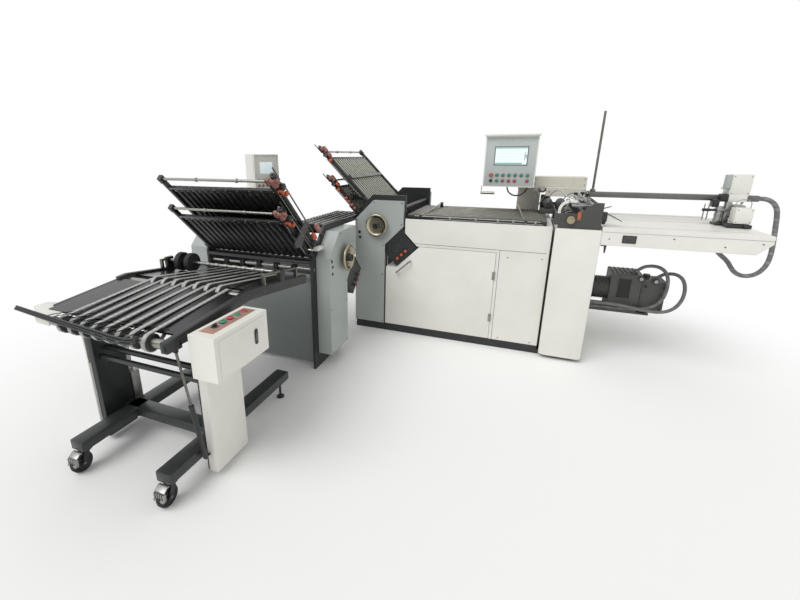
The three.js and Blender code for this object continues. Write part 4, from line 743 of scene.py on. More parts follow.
def infeedLoop(grow):
    y, z = -1409, deckTop(-1409) - 4
    return (arc((y, z), 6.5 + grow, 84, -96, 8) + [(-1420, z - 6 - grow), (-1900, 722 - grow)]
            + arc(middle, infeedBelt + grow, 285, 76, 16))


for name, loop, xs in (("deck", deckLoop, beltLines), ("infeed", infeedLoop, between)):
    makePiece(name + "_belts", "wovenBelt",
              [("band", loop(3.2), loop(0.4), beltWide, facingX(x - beltWide / 2)) for x in xs])

# Press wheels over the infeed, with the flat-bar brackets beside them
press, pressXs = (-1650, 792.65), (-1454.5, -1381.6)
tyre = [(14, 0), (30, 0), (32, 3), (46, 3), (48, 0), (51, 0.5), (54, 5), (54, 29), (51, 33.5), (48, 34), (46, 31),
        (32, 31), (30, 34), (14, 34), (14, 0)]
collarXs = (-1257.7, -1133.8, -1009.9, -885.9, -1195, -1072, -948)


def pressed(profile, sides, half, xs):
    return turns(profile, sides, *[(x - half, *press, x + half, *press) for x in xs])


makePiece("press_tyres", "blackRubber", pressed(tyre, 40, 17, pressXs), body="press_shaft", replaced="press_wheels")
makePiece("press_shaft_bar", "groundSteel",
          turns(pin(10, 809.5, 0.5), 24, (deckLow, *press, deckHigh, *press))
          + pressed([(10, 0), (13, 0), (14, 1), (14, 21), (13, 22), (10, 22), (10, 0)], 24, 11, collarXs),
          body="press_shaft")
makePiece("press_hubs", "blackPowderCoat",
          pressed([(10, 0), (15, 0), (17, 2), (17, 44), (15, 46), (10, 46), (10, 0)], 24, 23, pressXs),
          body="press_shaft")
makePiece("bracket_bars", "darkSteel",
          [("plate", [(-1816, 745), (-1802, 745), (-1802, 818), (-1510, 777), (-1510, 722), (-1496, 722), (-1496, 786),
                      (-1808, 832), (-1816, 832)], 20, facingX(-784), 2),
           ("plate", [(-1712, 736), (-1698, 736), (-1698, 796), (-1630, 792), (-1630, 804), (-1704, 808),
                      (-1712, 808)], 20, facingX(-1570), 2)])
screwYs = (-2404, -2300, -2050, ridge, -1830, -1700, -1480)
makePiece("rail_screws", "darkSteel", screws(right, 5, *[(deckHigh, y, deckTop(y) - 12) for y in screwYs]))
makePiece("rail_end_blocks", "blackPowderCoat",
          blocks(4, (-792, -2450, 690, -758, -2388, 736)) + blocks(3, (-778, -2458, 700, -764, -2444, 724))
          + rods(22, 24, 2, (-800, *near, -790, *near)))

# Black end bar of three thin rods that sag before the near end, the light tray beside it, a rake of wires
endBar = [(-1583, 774), (-1317, 752), (-1118, 738), (-974, 729), (-905, 738), (-880, 752)]
makeWire("end_bar", "blackPowderCoat", 4,
         [[(x, -2466 - 4 * i, z - (5 + 0.006 * (x + 1583)) * i) for x, z in endBar] for i in range(3)])
makePiece("end_bar_plate", "blackPowderCoat",
          [("plate", [(-1320, 744), (-1118, 724), (-974, 712), (-912, 722), (-920, 736), (-974, 730), (-1118, 741),
                      (-1320, 755)], 4, facingY(-2462), 1)]
          + blocks(2, (-1330, -2470, 716, -1316, -2446, 752), (-960, -2470, 706, -944, -2446, 734)))
trayTop = [(-1656, -2360), (-1509, -2440), (-1420, -2444), (-1480, -2300), (-1560, -2276), (-1656, -2303)]
traySide = [(-1656, -2364), (-1509, -2444), (-1420, -2448), (-1420, -2444), (-1509, -2440), (-1656, -2360)]
makePiece("end_tray", "whitePowderCoat",
          [("plate", outline, depth, Matrix.Translation((0, 0, z)), 1)
           for outline, depth, z in ((trayTop, 3, 726), (traySide, 30, 699))])
makeWire("end_rake", "blackSteelAndPaintedShade", 1.8,
         [[(x, -2466, 742 - 1.6 * i), (x + 26, -2424, 747 - i), (x + 80, -2340, deckTop(-2340) + 5)]
          for i, x in enumerate(range(-1440, -935, 36))])
print("delivery dressed")

# Delivery stand: hammered feet, covered columns, cross rods, gas strut
footXs, padY = (-1366, -847), -1623
makePiece("stand_feet", "hammeredEnamel",
          blocks(6, *[(x - 40, -2487, 110, x + 40, -1583, 160) for x in footXs])
          + blocks(4, (-1427, -2190, 110, -806, -2115, 160))
          + rods(18, 20, 1, *[(x, padY, 100, x, padY, 111) for x in footXs]), replaced="delivery_stand")
pad = [(0, 0), (20, 0), (22, 2), (22, 10), (12, 16), (7, 18), (7, 104), (0, 104)]
makePiece("stand_pads", "blackPowderCoat", turns(pad, 20, *[(x, padY, 0, x, padY, 104) for x in footXs]))
makePiece("stand_rods", "hammeredEnamel",
          rods(14, 24, 1, *[(-1427, y, z, -806, y, z) for y, z in ((-2250, 462), (-2216, 496))]))
(a0, a1), (b0, b1), (y0, y1), z1 = (-1486, -1426), (-807, -747), (-2290, -2068), 690
makePiece("column_cores", "blackPowderCoat",
          blocks(2, (a0 + 12, y0, 30, a1, y1 - 60, z1), (b0, y0 + 6, 30, b0 + 12, y1 - 6, z1)))
makePiece("column_covers", "whitePowderCoat",
          blocks(6, (b0 + 12, y0, 31, b1, y1, z1)) + blocks(3, (a0, y0, 31, a0 + 12, y1, z1)))
makePiece("column_tube", "castAluminium",
          blocks(3, (a0 + 12, y1 - 50, 31, a1 - 4, y1, 300)) + blocks(1, (a0 + 12, y0 - 2, 31, a0 + 30, y0 + 4, 440)))
strutX, foot, head = -781, (-2316, 128), (-2392, 676)
tubeEnd = [a + (b - a) * 0.52 for a, b in zip(foot, head)]
makePiece("strut_tube", "blackPowderCoat",
          rods(11, 24, 1, (strutX, *foot, strutX, *tubeEnd)) + blocks(1, (-786, -2316, 124, -776, -2290, 133))
          + rods(9, 20, 1, *[(-788, *end, -774, *end) for end in (foot, head)]), replaced="gas_strut")
makePiece("strut_rod", "darkSteel", rods(5.5, 20, 0, (strutX, *tubeEnd, strutX, *head)))

# Castors: wheel with tyre and hub, ribbed grey brake pedal on the fork
castorTyre = [(34, 1), (40, 0), (45, 2), (48, 8), (48, 22), (45, 28), (40, 30), (34, 29), (34, 1)]
castorHub = [(7, 0), (12, 0), (13, 4), (15, 6), (31, 6), (34.5, 3), (34.5, 27), (31, 24), (15, 24), (13, 26), (12, 30),
             (7, 30), (7, 0)]
pedalSide = [(-2519, 58), (-2514, 92), (-2496, 106), (-2484, 106), (-2484, 102), (-2496, 101), (-2510, 88), (-2514, 58)]
axle = (-2481, 48)
for side, x in zip(("left", "right"), footXs):
    wheelBody, forkBody = f"wheel_{side}", f"swivel_{side}"
    middleLine = (x - 15, *axle, x + 15, *axle)
    makePiece(f"castor_tyre_{side}", "blackRubber", turns(castorTyre, 40, middleLine), body=wheelBody,
              replaced=f"castor_wheel_{side}")
    makePiece(f"castor_hub_{side}", "blackNylon", turns(castorHub, 32, middleLine), body=wheelBody)
    makePiece(f"castor_pedal_{side}", "castAluminium",
              [("plate", pedalSide, 52, facingX(x - 26), 0.8)]
              + blocks(1.5, *[(x - 24 + 12 * i, -2524, 62, x - 17 + 12 * i, -2510, 90) for i in range(5)])
              + blocks(2.5, (x - 27, -2526, 50, x + 27, -2508, 62)), body=forkBody)
    makePiece(f"castor_nuts_{side}", "darkSteel",
              turns(pin(7, 6), 6, *[(x + s * 21, *axle, x + s * 27, *axle) for s in (-1, 1)])
              + rods(20, 24, 1.5, (x, -2453, 98, x, -2453, 109)), body=forkBody)
print("stand dressed")

# Control box: door with its latch, copper strip, buttons in grey rings
makePiece("box_strip", "copperFoil",
          [("plate", [(-704, -2342), (-636, -2342), (-638, -2072), (-700, -2072)], 1.2,
            Matrix.Translation((0, 0, 750)))])
makePiece("box_door", "whitePowderCoat", blocks(1, (-600, -2358, 576, -597.5, -2066, 732)))
latch = [(y - 2135, z + 660 + (24 if i <= 8 else -24)) for i, (y, z) in enumerate(arc((0, 0), 11, 0, 337.5, 15))]
makePiece("box_latch", "blackNylon", [("plate", latch, 3, facingX(-597.5), 0.8)])
makePiece("box_latch_plate", "darkSteel", blocks(0.6, (-594.6, -2141, 640, -592.8, -2129, 674)))
boxX, boxTop, capRadius = -671.3, 750.8, 14.6
boxYs = {"selector": -2291, "start": -2244.1, "stop": -2200.6, "second_start": -2154, "second_stop": -2113}
makePiece("box_rings", "castAluminium", [collar((boxX, y, boxTop), up, 15.5) for y in boxYs.values()])
for key, finish in (("start", "greenAbs"), ("stop", "redAbs")):
    y = boxYs[key]
    makePiece(f"box_{key}_cap", finish, [button((boxX, y, 756.5), up, capRadius, 5)]
              + rods(9, 20, 0, (boxX, y, 743, boxX, y, 757.5)), body="box_" + key, replaced=f"box_{key}_button")
for key, finish in (("second_start", "greenAbs"), ("second_stop", "redAbs")):
    makePiece("box_" + key, finish, [button((boxX, boxYs[key], boxTop), up, capRadius, 8)])
makePiece("box_selector", "blackNylon", [button((boxX, boxYs["selector"], boxTop), up, capRadius, 6)]
          + blocks(2, (-674.5, -2303, 756, -668, -2279, 768)))
print("control box dressed")

# Main cabinet: the service door with hinges and its slanted pull bar, screws of the fascia
door = [(-578.5, 65), (239.5, 65), (239.5, 725), (-316.2, 725), (-493.2, 548), (-578.5, 548)]
makePiece("door_leaf", "whitePowderCoat", [("plate", door, 20, facingY(-430), 2.5)], body="door",
          replaced="cabinet_door")
hinges = []
for z in (233, 557):
    hinges += rods(5.5, 20, 1, (241.5, -456.3, z - 30, 241.5, -456.3, z + 30))
    hinges += blocks(0.8, (225.5, -453, z - 30, 241.5, -449.5, z + 30))
    hinges += screws(front, 3, (232, -453, z - 18), (232, -453, z + 18))
makePiece("door_hinges", "groundSteel", hinges, body="door")
makePiece("door_pull", "castAluminium",
          turns([(0, 0), (5, 0), (7, 2), (7, 142), (5, 144.3), (0, 144.3)], 20, (-486.5, -476, 511, -381.5, -476, 610))
          + turns([(0, 0), (5, 0), (5, 20), (8, 22), (8, 26), (0, 26)], 16,
                  *[(x, -476, z, x, -450, z) for x, z in ((-486.5, 511), (-381.5, 610))]), body="door")
makePiece("cabinet_screws", "darkSteel",
          screws(front, 4.5, *[(x, -450, z) for x, z in ((319, 699), (540, 707), (308, 84), (528, 80))]))
makePiece("cabinet_seam", "blackPowderCoat",
          blocks(0, (-419, -450.6, 747, 562, -449.5, 749.5), (262, -450.6, 66, 264.5, -449.5, 748)))
makePiece("housing_front", "whitePowderCoat", blocks(14, (592, -503.5, 28, 862, -480.5, 934)))

# Register table: dark plate, rails, long oiled rods, cross bars and clamps
(x0, x1), (y0, y1), (z0, z1), barCount = (-422.5, 540.5), (-445, 210), (933.3, 965.3), 11
makePiece("register_plate", "polishedDeckSheet", blocks(1, (x0, y0 + 1, z0, x1, y1, z0 + 5)),
          replaced="register_table")
makePiece("register_rails", "darkSteel",
          blocks(1, (x0, y0 + 9, z1 - 5, x1, y0 + 15, z1))
          + blocks(2, (x0, y1 - 30, z0, x1, y1, z1), (x1 - 30, y0 + 8, z0, x1, y1, z1)))
makePiece("register_sides", "blackPowderCoat",
          blocks(1.5, (x0, y0 + 2, z0 + 8, x1, y0 + 30, z1 - 6)) + blocks(2, (x0, y0 + 30, z0, x0 + 30, y1, z1 - 2))
          + blocks(1.5, *[(x0 + a, y0 - 2, z1 - 24, x0 + b, y0 + 8, z1 - 9)
                          for a, b in ((190, 226), (318, 390), (560, 580))]))
ys = [y0 + (y1 - y0) / (barCount + 1) * i for i in range(1, barCount + 1)]
lowYs = [y0 + (y1 - y0) / (barCount + 1) * (i + 0.5) for i in range(1, barCount)]
makePiece("register_rods", "oiledSteel",
          rods(7, 16, 1, *[(x0 + 4, y, z1 - 3.5, x1 - 4, y, z1 - 3.5) for y in ys])
          + rods(3, 8, 0, *[(x0 + 30, y, z0 + 12, x1 - 30, y, z0 + 12) for y in lowYs]))
makePiece("register_near_rods", "groundSteel",
          rods(3, 12, 0, (x0 + 16, y0 + 1, z1 - 8, x1 - 40, y0 + 1, z1 - 8))
          + rods(2.4, 12, 0, (x0 + 200, y0 - 1, z0 + 7, x1 - 20, y0 - 1, z0 + 7)))
makePiece("register_bars", "castAluminium",
          rods(5.5, 12, 1, (-318, y0 - 2, z1 - 10, -268, 100, z1 + 36))
          + rods(5, 12, 1, (409, y0 - 3, z1 - 22, 341, -100, z1 + 70))
          + rods(4, 12, 1, (-340, y0 - 1, z1 - 8, -300, y0 + 90, z1 + 6)))
makePiece("register_bar_feet", "blackPowderCoat",
          blocks(3, (-330, y0 - 3, z1 - 20, -306, y0 + 22, z1 + 2), (-280, 88, z1, -256, 114, z1 + 42),
                 (398, y0 - 3, z1 - 26, 420, y0 + 12, z1 - 2), (x0 + 12, y0 - 3, z1 - 22, x0 + 60, y0 + 22, z1 - 2)))
clamps = []
for x in (-100, 81, 230, 330, 470):
    clamps += blocks(2, (x - 7, y0 - 3, z1 - 22, x + 7, y0 + 10, z1 - 2))
    clamps += turns([(0, 0), (5, 0), (7, 1.5), (7, 8), (5, 10), (0, 10)], 12, (x, y0 - 3, z1 - 14, x, y0 - 13, z1 - 14))
makePiece("register_clamps", "castAluminium", clamps)

# Rear housing: seams and screws of its covers, the dark block and the bearing beside the register table
makePiece("cover_seams", "greyPowderCoat",
          blocks(0, (431.2, -0.8, 1163, 789.8, 0.3, 1165), (700, -0.8, 1166, 701.5, 0.3, 1234)))
makePiece("cover_screws", "darkSteel",
          screws(front, 4, *grid((446, 775), 0, (1180, 1220))) + screws(front, 5, *grid((548, 760), -15, (1126,))))
makePiece("rear_block", "blackPowderCoat", blocks(3, (500, 150, 966, 570, 196, 1090)))
makePiece("bearing_pole", "castAluminium",
          turns([(0, 0), (24, 0), (30, 4), (30, 20), (22, 26), (14, 28), (14, 60), (0, 60)], 28,
                (500, 40, 1146, 500, -20, 1146)))
print("cabinet and register dressed")

# Feeder: suction drum, knob, cylinders and small motors behind the side plate
drum = (674.5, 990)
disc = [(9, 0), (38, 0), (40, 2), (40, 9), (38.5, 10), (38.5, 13), (40, 14), (40, 20), (38.5, 21), (38.5, 24), (40, 25),
        (40, 32), (38, 34), (9, 34), (9, 0)]
knob = [(0, 0.8), (5, 0.8), (6, 0), (23, 0), (25, 2), (26, 5), (26, 21), (25, 25), (18, 27), (0, 27)]
discYs = [-480 + 730 * i / 6 for i in range(1, 6)]


def onDrum(y0, y1):
    return (drum[0], y0, drum[1], drum[0], y1, drum[1])


makePiece("drum_discs", "darkSteel", turns(disc, 36, *[onDrum(y - 17, y + 17) for y in discYs]), body="feed_drum",
          replaced="suction_drum")
makePiece("drum_shaft", "groundSteel", rods(9, 24, 1, onDrum(-500, 265)), body="feed_drum")
makePiece("drum_knob", "brassFitting", turns(knob, 40, onDrum(-508, -481)), body="feed_drum")
makePiece("lever_pin", "darkSteel",
          turns([(0, 0.6), (3, 0.6), (4, 1.4), (6, 1), (7, 0), (7, -3), (0, -3)], 20,
                (720.5, -494.4, 1000, 720.5, -497, 1000)))
makePiece("side_screws", "darkSteel",
          [("screw", (x, -480, z), front, r) for x, z, r in ((609, 999, 7), (600, 968, 5), (838, 918, 5),
                                                             (838, 1086, 5), (628, 918, 5), (820, 950, 4))])
makePiece("feeder_arms", "castAluminium",
          blocks(2, (792, -464, 1060, 814, 234, 1084))
          + blocks(3, (676, -392, 1062, 800, -368, 1078), (676, -312, 1062, 800, -288, 1078),
                   (690, -390, 1076, 706, -370, 1128)))


def cylinder(length, r, line):
    return turns([(0, 0), (r - 2, 0), (r, 2), (r, 12), (r - 2, 13), (r - 2, length - 14), (r, length - 12),
                  (r, length - 2), (r - 2, length), (0, length)], 24, line)


makePiece("feeder_cylinders", "castAluminium",
          cylinder(98, 14, (702, -380, 1113, 745, -380, 1024)) + cylinder(62, 11, (683, -380, 1132, 739, -380, 1102))
          + cylinder(70, 12, (655, -352, 1040, 655, -352, 1110)) + cylinder(84, 12, (715, -300, 1050, 715, -300, 1134))
          + cylinder(60, 10, (778, -330, 1050, 778, -330, 1110)))
elbow = (665, 1044)
makePiece("feeder_bracket", "whitePowderCoat",
          [("plate", arc(elbow, 70, 185, 95) + arc(elbow, 54, 95, 185), 24, facingY(-456), 1.5)]
          + blocks(1.5, (594, -480, 1028, 612, -456, 1044), (651, -480, 1098, 700, -456, 1112)))
makePiece("feeder_knobs", "blackNylon",
          turns([(0, 0), (4, 0), (4, 10), (11, 12), (13, 15), (13, 24), (10, 27), (0, 27)], 16,
                *[(x, -300, z - 20, x, -300, z + 8) for x, z in ((699, 1142), (740, 1146), (771, 1138))])
          + turns([(0, 0), (4, 0), (4, 8), (12, 10), (13, 22), (10, 25), (0, 25)], 16,
                  (690, -330, 1070, 662, -330, 1070)))
motor = [(0, 0), (30, 0), (34, 3), (34, 14), (30, 16), (30, 20), (34, 22), (34, 28), (30, 30), (30, 34), (34, 36),
         (34, 42), (30, 44), (30, 48), (34, 50), (34, 92), (28, 98), (12, 100), (0, 100)]
motors = []
for x in (548, 636):
    motors += turns(motor, 28, (x, 50, 1044, x, -50, 1044)) + blocks(4, (x - 20, -30, 996, x + 44, 30, 1030))
makePiece("feeder_motors", "castEnamel", motors + blocks(4, (498, -40, 966, 596, 60, 1004)))
makePiece("motor_cables", "blackRubber", rods(9, 16, 1, *[(x, -50, 1044, x, -62, 1044) for x in (548, 636)]))
makeWire("feeder_tubes", "clearTube", 4, [
    [(548, -60, 1052), (560, -110, 1120), (600, -180, 1150), (650, -280, 1120), (683, -366, 1112)],
    [(636, -60, 1050), (660, -120, 1110), (700, -200, 1140), (715, -290, 1134)],
    [(715, -300, 1132), (735, -260, 1160), (770, -200, 1150), (800, -150, 1084)],
    [(470, 190, 1140), (452, 150, 1100), (424, 130, 1040), (402, 120, 970)],
    [(492, 180, 1146), (470, 140, 1110), (440, 120, 1040), (424, 110, 972)],
    [(548, 60, 1120), (520, 80, 1080), (490, 90, 1020), (470, 100, 972)],
    [(560, 20, 1126), (590, 10, 1150), (640, 0, 1140), (668, -20, 1100)]])
makePiece("feeder_blades", "darkSteel",
          [("plate", [(852, 1042), (872, 1042), (969, 990), (967, 986), (868, 1034), (852, 1034)], 30,
            facingY(-410), 0.6),
           ("plate", [(852, 1060), (866, 1064), (900, 1076), (899, 1079), (862, 1068), (852, 1066)], 24,
            facingY(-410), 0.5)])
makePiece("feeder_side_block", "blackNylon",
          blocks(4, (851, -478, 985, 878, -440, 1045))
          + turns([(0, 0), (8, 0), (10, 2), (10, 14), (8, 17), (0, 17)], 16, (865, -460, 985, 865, -460, 966))
          + [("plate", [(866, 842), (900, 842), (896, 789), (890, 789), (886, 834), (866, 834)], 16, facingY(-474), 1)])
print("feeder dressed")

# Feed table: painted shadow under the rim, painted shade in grooves, socket, screws, raised rear edge; beam with its
# pole; sliding guide head
# a grey line under the rim's front edge is painted shadow; two grey lines along the top are painted shade in grooves
makePiece("table_painted_shadow_lines", "greyPowderCoat",
          blocks(0, (864, -495, 924, 1703, -493.4, 926.5), (866, -60, 952, 1640, -57, 952.8),
                 (866, -410, 952, 1640, -408, 952.8)))
makePiece("table_edge", "whitePowderCoat",
          blocks(2, (1000, 226, 951, 1590, 240, 962)) + blocks(1, (870, -440, 951, 1640, -434, 954)))
makePiece("table_socket", "blackNylon", blocks(5, (976, -498.5, 862, 1051, -493, 911)))
makePiece("socket_face", "charcoalPowderCoat",
          blocks(3, (984, -500, 869, 1043, -498, 904))
          + turns([(3, 0), (6, 0), (7, 1), (7, 2.4), (4, 2.6), (3, 0)], 16,
                  *[(x, -500, 886, x, -503, 886) for x in (998, 1013, 1028)]))
makePiece("table_screws", "darkSteel",
          screws(front, 4.5, *[(x, -494, z) for x, z in ((906, 883), (1241, 905), (1491, 876), (1657, 905))]))
makePiece("beam_bar", "greyBeam", blocks(4, (789.3, -20, 1098, 1775.5, 20, 1136)), replaced="feed_beam")
makePiece("beam_scale", "darkSteel",
          blocks(0, (960, -21.2, 1102, 1760, -19.4, 1107)) + blocks(3, (789.6, -24, 1094, 812, 24, 1140)))
makePiece("beam_pole", "darkSteel",
          turns([(0, 0), (7, 0), (8, 1), (8, 540), (5, 543), (0, 543)], 24, (833.3, 0, 1134, 833.3, 0, 1677))
          + turns([(8, 0), (16, 0), (18, 2), (18, 14), (14, 18), (8, 18), (8, 0)], 6,
                  (833.3, 0, 1136, 833.3, 0, 1154)))


def makeHeadPiece(name, finish, shapes, replaced=None):
    makePiece("head_" + name, finish, shapes, body="guide_head", replaced=replaced)


makeHeadPiece("tower", "whitePowderCoat",
              blocks(3, (1592, -74, 1140, 1699, -20.5, 1268))
              + blocks(2, (1598, -74, 1098, 1692, -44, 1142), (1600, 20.5, 1098, 1690, 28, 1180),
                       (1592, -24, 1137, 1699, 28, 1180)), "feed_head")
makeHeadPiece("flap", "greyPowderCoat",
              blocks(2, (1566, -79, 1181, 1592, -30, 1266), (1560, -70, 1176, 1594, -24, 1184)))
makeHeadPiece("castings", "castAluminium",
              turns(ribbed(24, 104, 3), 24, (1560, -92, 966, 1560, -92, 1070))
              + blocks(5, (1538, -120, 1040, 1600, -60, 1058), (1580, -112, 962, 1612, -72, 1100))
              + turns(ribbed(16, 44, 2), 20, (1612, -110, 1020, 1612, -154, 1020))
              + blocks(4, (1606, -150, 1046, 1668, -72, 1084)))
makeHeadPiece("joint", "blackNylon",
              blocks(5, (1556, -78, 1098, 1596, -22, 1146)) + blocks(6, (1518, -84, 1062, 1556, -30, 1112))
              + rods(17, 20, 2, (1530, -92, 1068, 1530, -92, 1112)) + blocks(3, (1540, -140, 953, 1604, -40, 967))
              + blocks(4, (1566, -236, 953, 1690, -150, 975)) + rods(12, 20, 2, (1655, -236, 964, 1655, -250, 964))
              + blocks(2, (1486, -118, 1040, 1544, -100, 1054)) + blocks(3, (1462, -119, 1038, 1504, -105, 1056)))
makeHeadPiece("rods", "groundSteel",
              rods(3.5, 16, 0.8, *[(x, -112, 982, x, -112, 1086) for x in (1472, 1494)])
              + rods(7, 16, 1, *[(x, -60, 1084, x, -60, 1140) for x in (1612, 1676)]))
makeHeadPiece("box", "whitePowderCoat", blocks(4, (1596, -230, 980, 1684, -150, 1074)))
makeWire("head_wire", "groundSteel", 2, [[(1600, -190, 1074), (1606, -190, 1112), (1640, -190, 1124),
                                          (1672, -190, 1110), (1676, -190, 1074)]], "guide_head")
makeHeadPiece("screws", "darkSteel",
              screws(front, 3, *grid((1604, 1688), -74.3, (1256, 1152)), *grid((1606, 1674), -230, (990, 1064))))
print("feed table and head dressed")

# Vacuum pump: framed grille with a near-black sheet of painted shade behind it, fins, knobs, end block screws, flange
# bolts
x0, z0, x1, z1 = 1051, 436, 1128, 570
makePiece("pump_grille", "blackPowderCoat",
          blocks(1, (x0, -249, z0, x1, -246, z0 + 7), (x0, -249, z1 - 7, x1, -246, z1),
                 (x0, -249, z0, x0 + 7, -246, z1), (x1 - 7, -249, z0, x1, -246, z1))
          + blocks(0.8, *[(x0 + 4, -248, z, x1 - 4, -246, z + 4) for z in range(z0 + 10, z0 + 127, 9)]))
# a near-black sheet just behind the grille bars: painted shade for the depth behind the grille
makePiece("pump_grille_painted_shade", "blackRubber", blocks(0, (x0 + 5, -246.6, z0 + 5, x1 - 5, -244.9, z1 - 5)))
makePiece("pump_body_ribs", "castEnamel",
          blocks(2, *[(x, -236, 604, x + 6, -64, 612) for x in range(1012, 1153, 28)])
          + blocks(3, (1192, -249, 350, 1200, -60, 570)))
fin = [(70, 0), (78, 0.8), (82, 1.6), (82, 4.4), (78, 5.2), (70, 6), (70, 0)]
makePiece("pump_fins", "castEnamel",
          turns(fin, 40, *[(x, -150, 474, x + 6, -150, 474) for x in range(872, 985, 14)]))
knobs = [(1179, 581), (1266, 572)]
makePiece("pump_bolts", "castAluminium",
          screws(right, 6, *[(1335, y, z) for y in (-230, -90) for z in (380, 540)])
          + turns([(0, 0), (9, 0), (12, 2), (12, 12), (9, 14), (0, 14)], 20,
                  *[(x, -246, z, x, -260, z) for x, z in knobs]))
makePiece("pump_corner_screws", "blackPowderCoat", screws(front, 8, *grid((1215, 1320), -245, (372, 530))))
makePiece("pump_rims", "blackPowderCoat",
          turns([(0, 0), (17, 0), (19, 2), (19, 4), (0, 4)], 24, *[(x, -245, z, x, -250, z) for x, z in knobs]))
print("pump dressed")


# Control panels: foil, screen with plain coloured fields, buttons in rings, handle and cable
def makePanelPiece(name, finish, shapes, replaced=None, body="panel"):
    makePiece(name, finish, shapes, body=body, replaced=replaced)


def beforeFace(soft, back, deep, *boxes):
    # boxes given as x, z, x, z, as deep as given, standing back from the panel's face
    return blocks(soft, *[(a, face - back - deep, b, c, face - back, d) for a, b, c, d in boxes])


face, columns, topRow, lowRow = -140, [132, 174, 216, 258, 300, 342, 385], 1247, 1207
makePanelPiece("panel_foil", "panelFoil", blocks(0.6, (84, face - 1.4, 1171, 429, face + 0.5, 1512)))
makePanelPiece("screen_frame", "greyNylon",
               blocks(1, (143, face - 4, 1317, 375, face - 0.6, 1324), (143, face - 4, 1443, 375, face - 0.6, 1450),
                      (143, face - 4, 1317, 150, face - 0.6, 1450), (368, face - 4, 1317, 375, face - 0.6, 1450)))
makePanelPiece("screen_glass", "screenGlass", blocks(0, (149, face - 2.6, 1323, 369, face - 1, 1444)))
makePanelPiece("screen_strip", "screenMint",
               beforeFace(0, 2, 1, (152, 1326, 338, 1336), (152, 1434, 366, 1441), (350, 1352, 356, 1372),
                          (350, 1396, 356, 1412)))
makePanelPiece("screen_marks", "rosewoodAbs", beforeFace(0, 2, 1, (350, 1374, 356, 1394), (360, 1366, 365, 1392)))
makePanelPiece("screen_lines", "panelFoil",
               beforeFace(0, 2, 1, *[(156, z, 332, z + 1.6) for z in (1356, 1377, 1398, 1419)]))
ringY, capY, capRadius = face - 1.2, face - 1, 10.6
makePanelPiece("panel_rings", "castAluminium",
               [collar((x, ringY, topRow), front, 11.4) for x in columns[1:]]
               + [collar((x, ringY, lowRow), front, 11.4) for x in columns[:5] + columns[6:]]
               + [collar((columns[0], ringY, topRow), front, 14.4)])
stopCap = [(0, 14), (10, 14), (13.4, 12.6), (14, 10), (13.4, 7.4), (9, 6.4), (8, 5), (8, -10), (0, -10)]
startCap = [(0, 13), (8, 13), (10.4, 12), (11, 10.4), (11, 8), (8, 8), (8, -10), (0, -10)]
for key, finish, cap, sides, x in (("stop", "orangeAbs", stopCap, 32, columns[0]),
                                   ("start", "greenAbs", startCap, 28, columns[6])):
    makePanelPiece(f"panel_{key}_cap", finish, turns(cap, sides, (x, face, topRow, x, face - 14, topRow)),
                   f"panel_{key}_button", "panel_" + key)
makePanelPiece("panel_greens", "greenAbs",
               [button((x, capY, topRow), front, capRadius, 6) for x in columns[1:6]]
               + [button((columns[1], capY, lowRow), front, capRadius, 6)])
makePanelPiece("panel_reds", "redAbs",
               [button((x, capY, lowRow), front, capRadius, 6) for x in columns[2:5] + columns[6:]])
makePanelPiece("panel_key", "blackNylon", [button((columns[0], capY, lowRow), front, capRadius, 5)]
               + blocks(1.5, (129.5, face - 14, 1199, 134.5, face - 5, 1215)))
makePanelPiece("panel_handle", "groundSteel",
               turns(pin(10, 100, 0, 2), 20, (68, -150, 1117, 168, -150, 1117))
               + rods(4, 16, 0, (70, -146, 1120, 70, -128, 1166)))
makePanelPiece("panel_trim", "creamPowderCoat",
               blocks(3, (80, -66, 1175, 433, -59, 1512), (220, -62, 1216, 300, -56, 1290)))
makeWire("panel_cable", "blackRubber", 5, [
    [(250, -112, 1166), (262, -112, 1130), (290, -110, 1106), (330, -80, 1098), (368, -20, 1112), (392, 60, 1150),
     (400, 86, 1176)]], "panel")
secondPlace = Matrix.Translation((-1617.6, -545, 1100)) @ Matrix.Rotation(math.pi * 0.4, 4, "Z")
secondXs, secondY = (-80, -40, 0, 40, 80), -53.5
secondPieces = {
    "face": ("whitePowderCoat", blocks(0.6, (-110, -53.9, 12, 110, -52, 288))),
    "screen": ("screenGlass", blocks(1, (-62, -55, 150, 62, -53, 240))),
    "hood": ("whitePowderCoat",
             blocks(3, (-120, -62, 288, 120, -46, 300))
             + blocks(2, (-120, -62, 0, -112, -46, 300), (112, -62, 0, 120, -46, 300), (-120, -62, 0, 120, -46, 10))),
    "rings": ("castAluminium", [collar((x, secondY, z), front, 9) for z in (60, 100) for x in secondXs]),
    "greens": ("greenAbs", [button((x, secondY, 100), front, 8.4, 6) for x in secondXs[:4]]),
    "reds": ("redAbs", [button((x, secondY, z), front, 8.4, 6)
                        for x, z in ((80, 100), (-80, 60), (-40, 60), (0, 60), (40, 60))]),
}
for name, (finish, shapes) in secondPieces.items():
    makePiece("second_" + name, finish, shapes, secondPlace, "second_panel")
print("panels dressed")

# Beside the second unit's plates: dark arm, knobs, caps and a light block on the casing's shoulder
makePiece("shoulder_arm", "charcoalPowderCoat",
          [("plate", [(-1450, 880), (-1390, 880), (-1290, 985), (-1292, 1012), (-1328, 1020), (-1452, 912)], 12,
            facingX(-803), 3)])
makePiece("shoulder_caps", "blackNylon",
          turns(ribbed(13, 26, 2), 16, (-770, -1200, 916, -744, -1200, 916))
          + turns(ribbed(15, 22, 2), 16, (-790, -1262, 868, -764, -1262, 868)))
makePiece("shoulder_knobs", "orangeAbs", turns(ribbed(15, 46, 3), 16, (-786, -1256, 930, -752, -1292, 912)))
makePiece("shoulder_second_knobs", "rosewoodAbs", turns(ribbed(17, 54, 3), 16, (-790, -1206, 978, -752, -1232, 944)))
makePiece("shoulder_block", "whitePowderCoat", blocks(3, (-800, -1236, 820, -766, -1160, 842)))

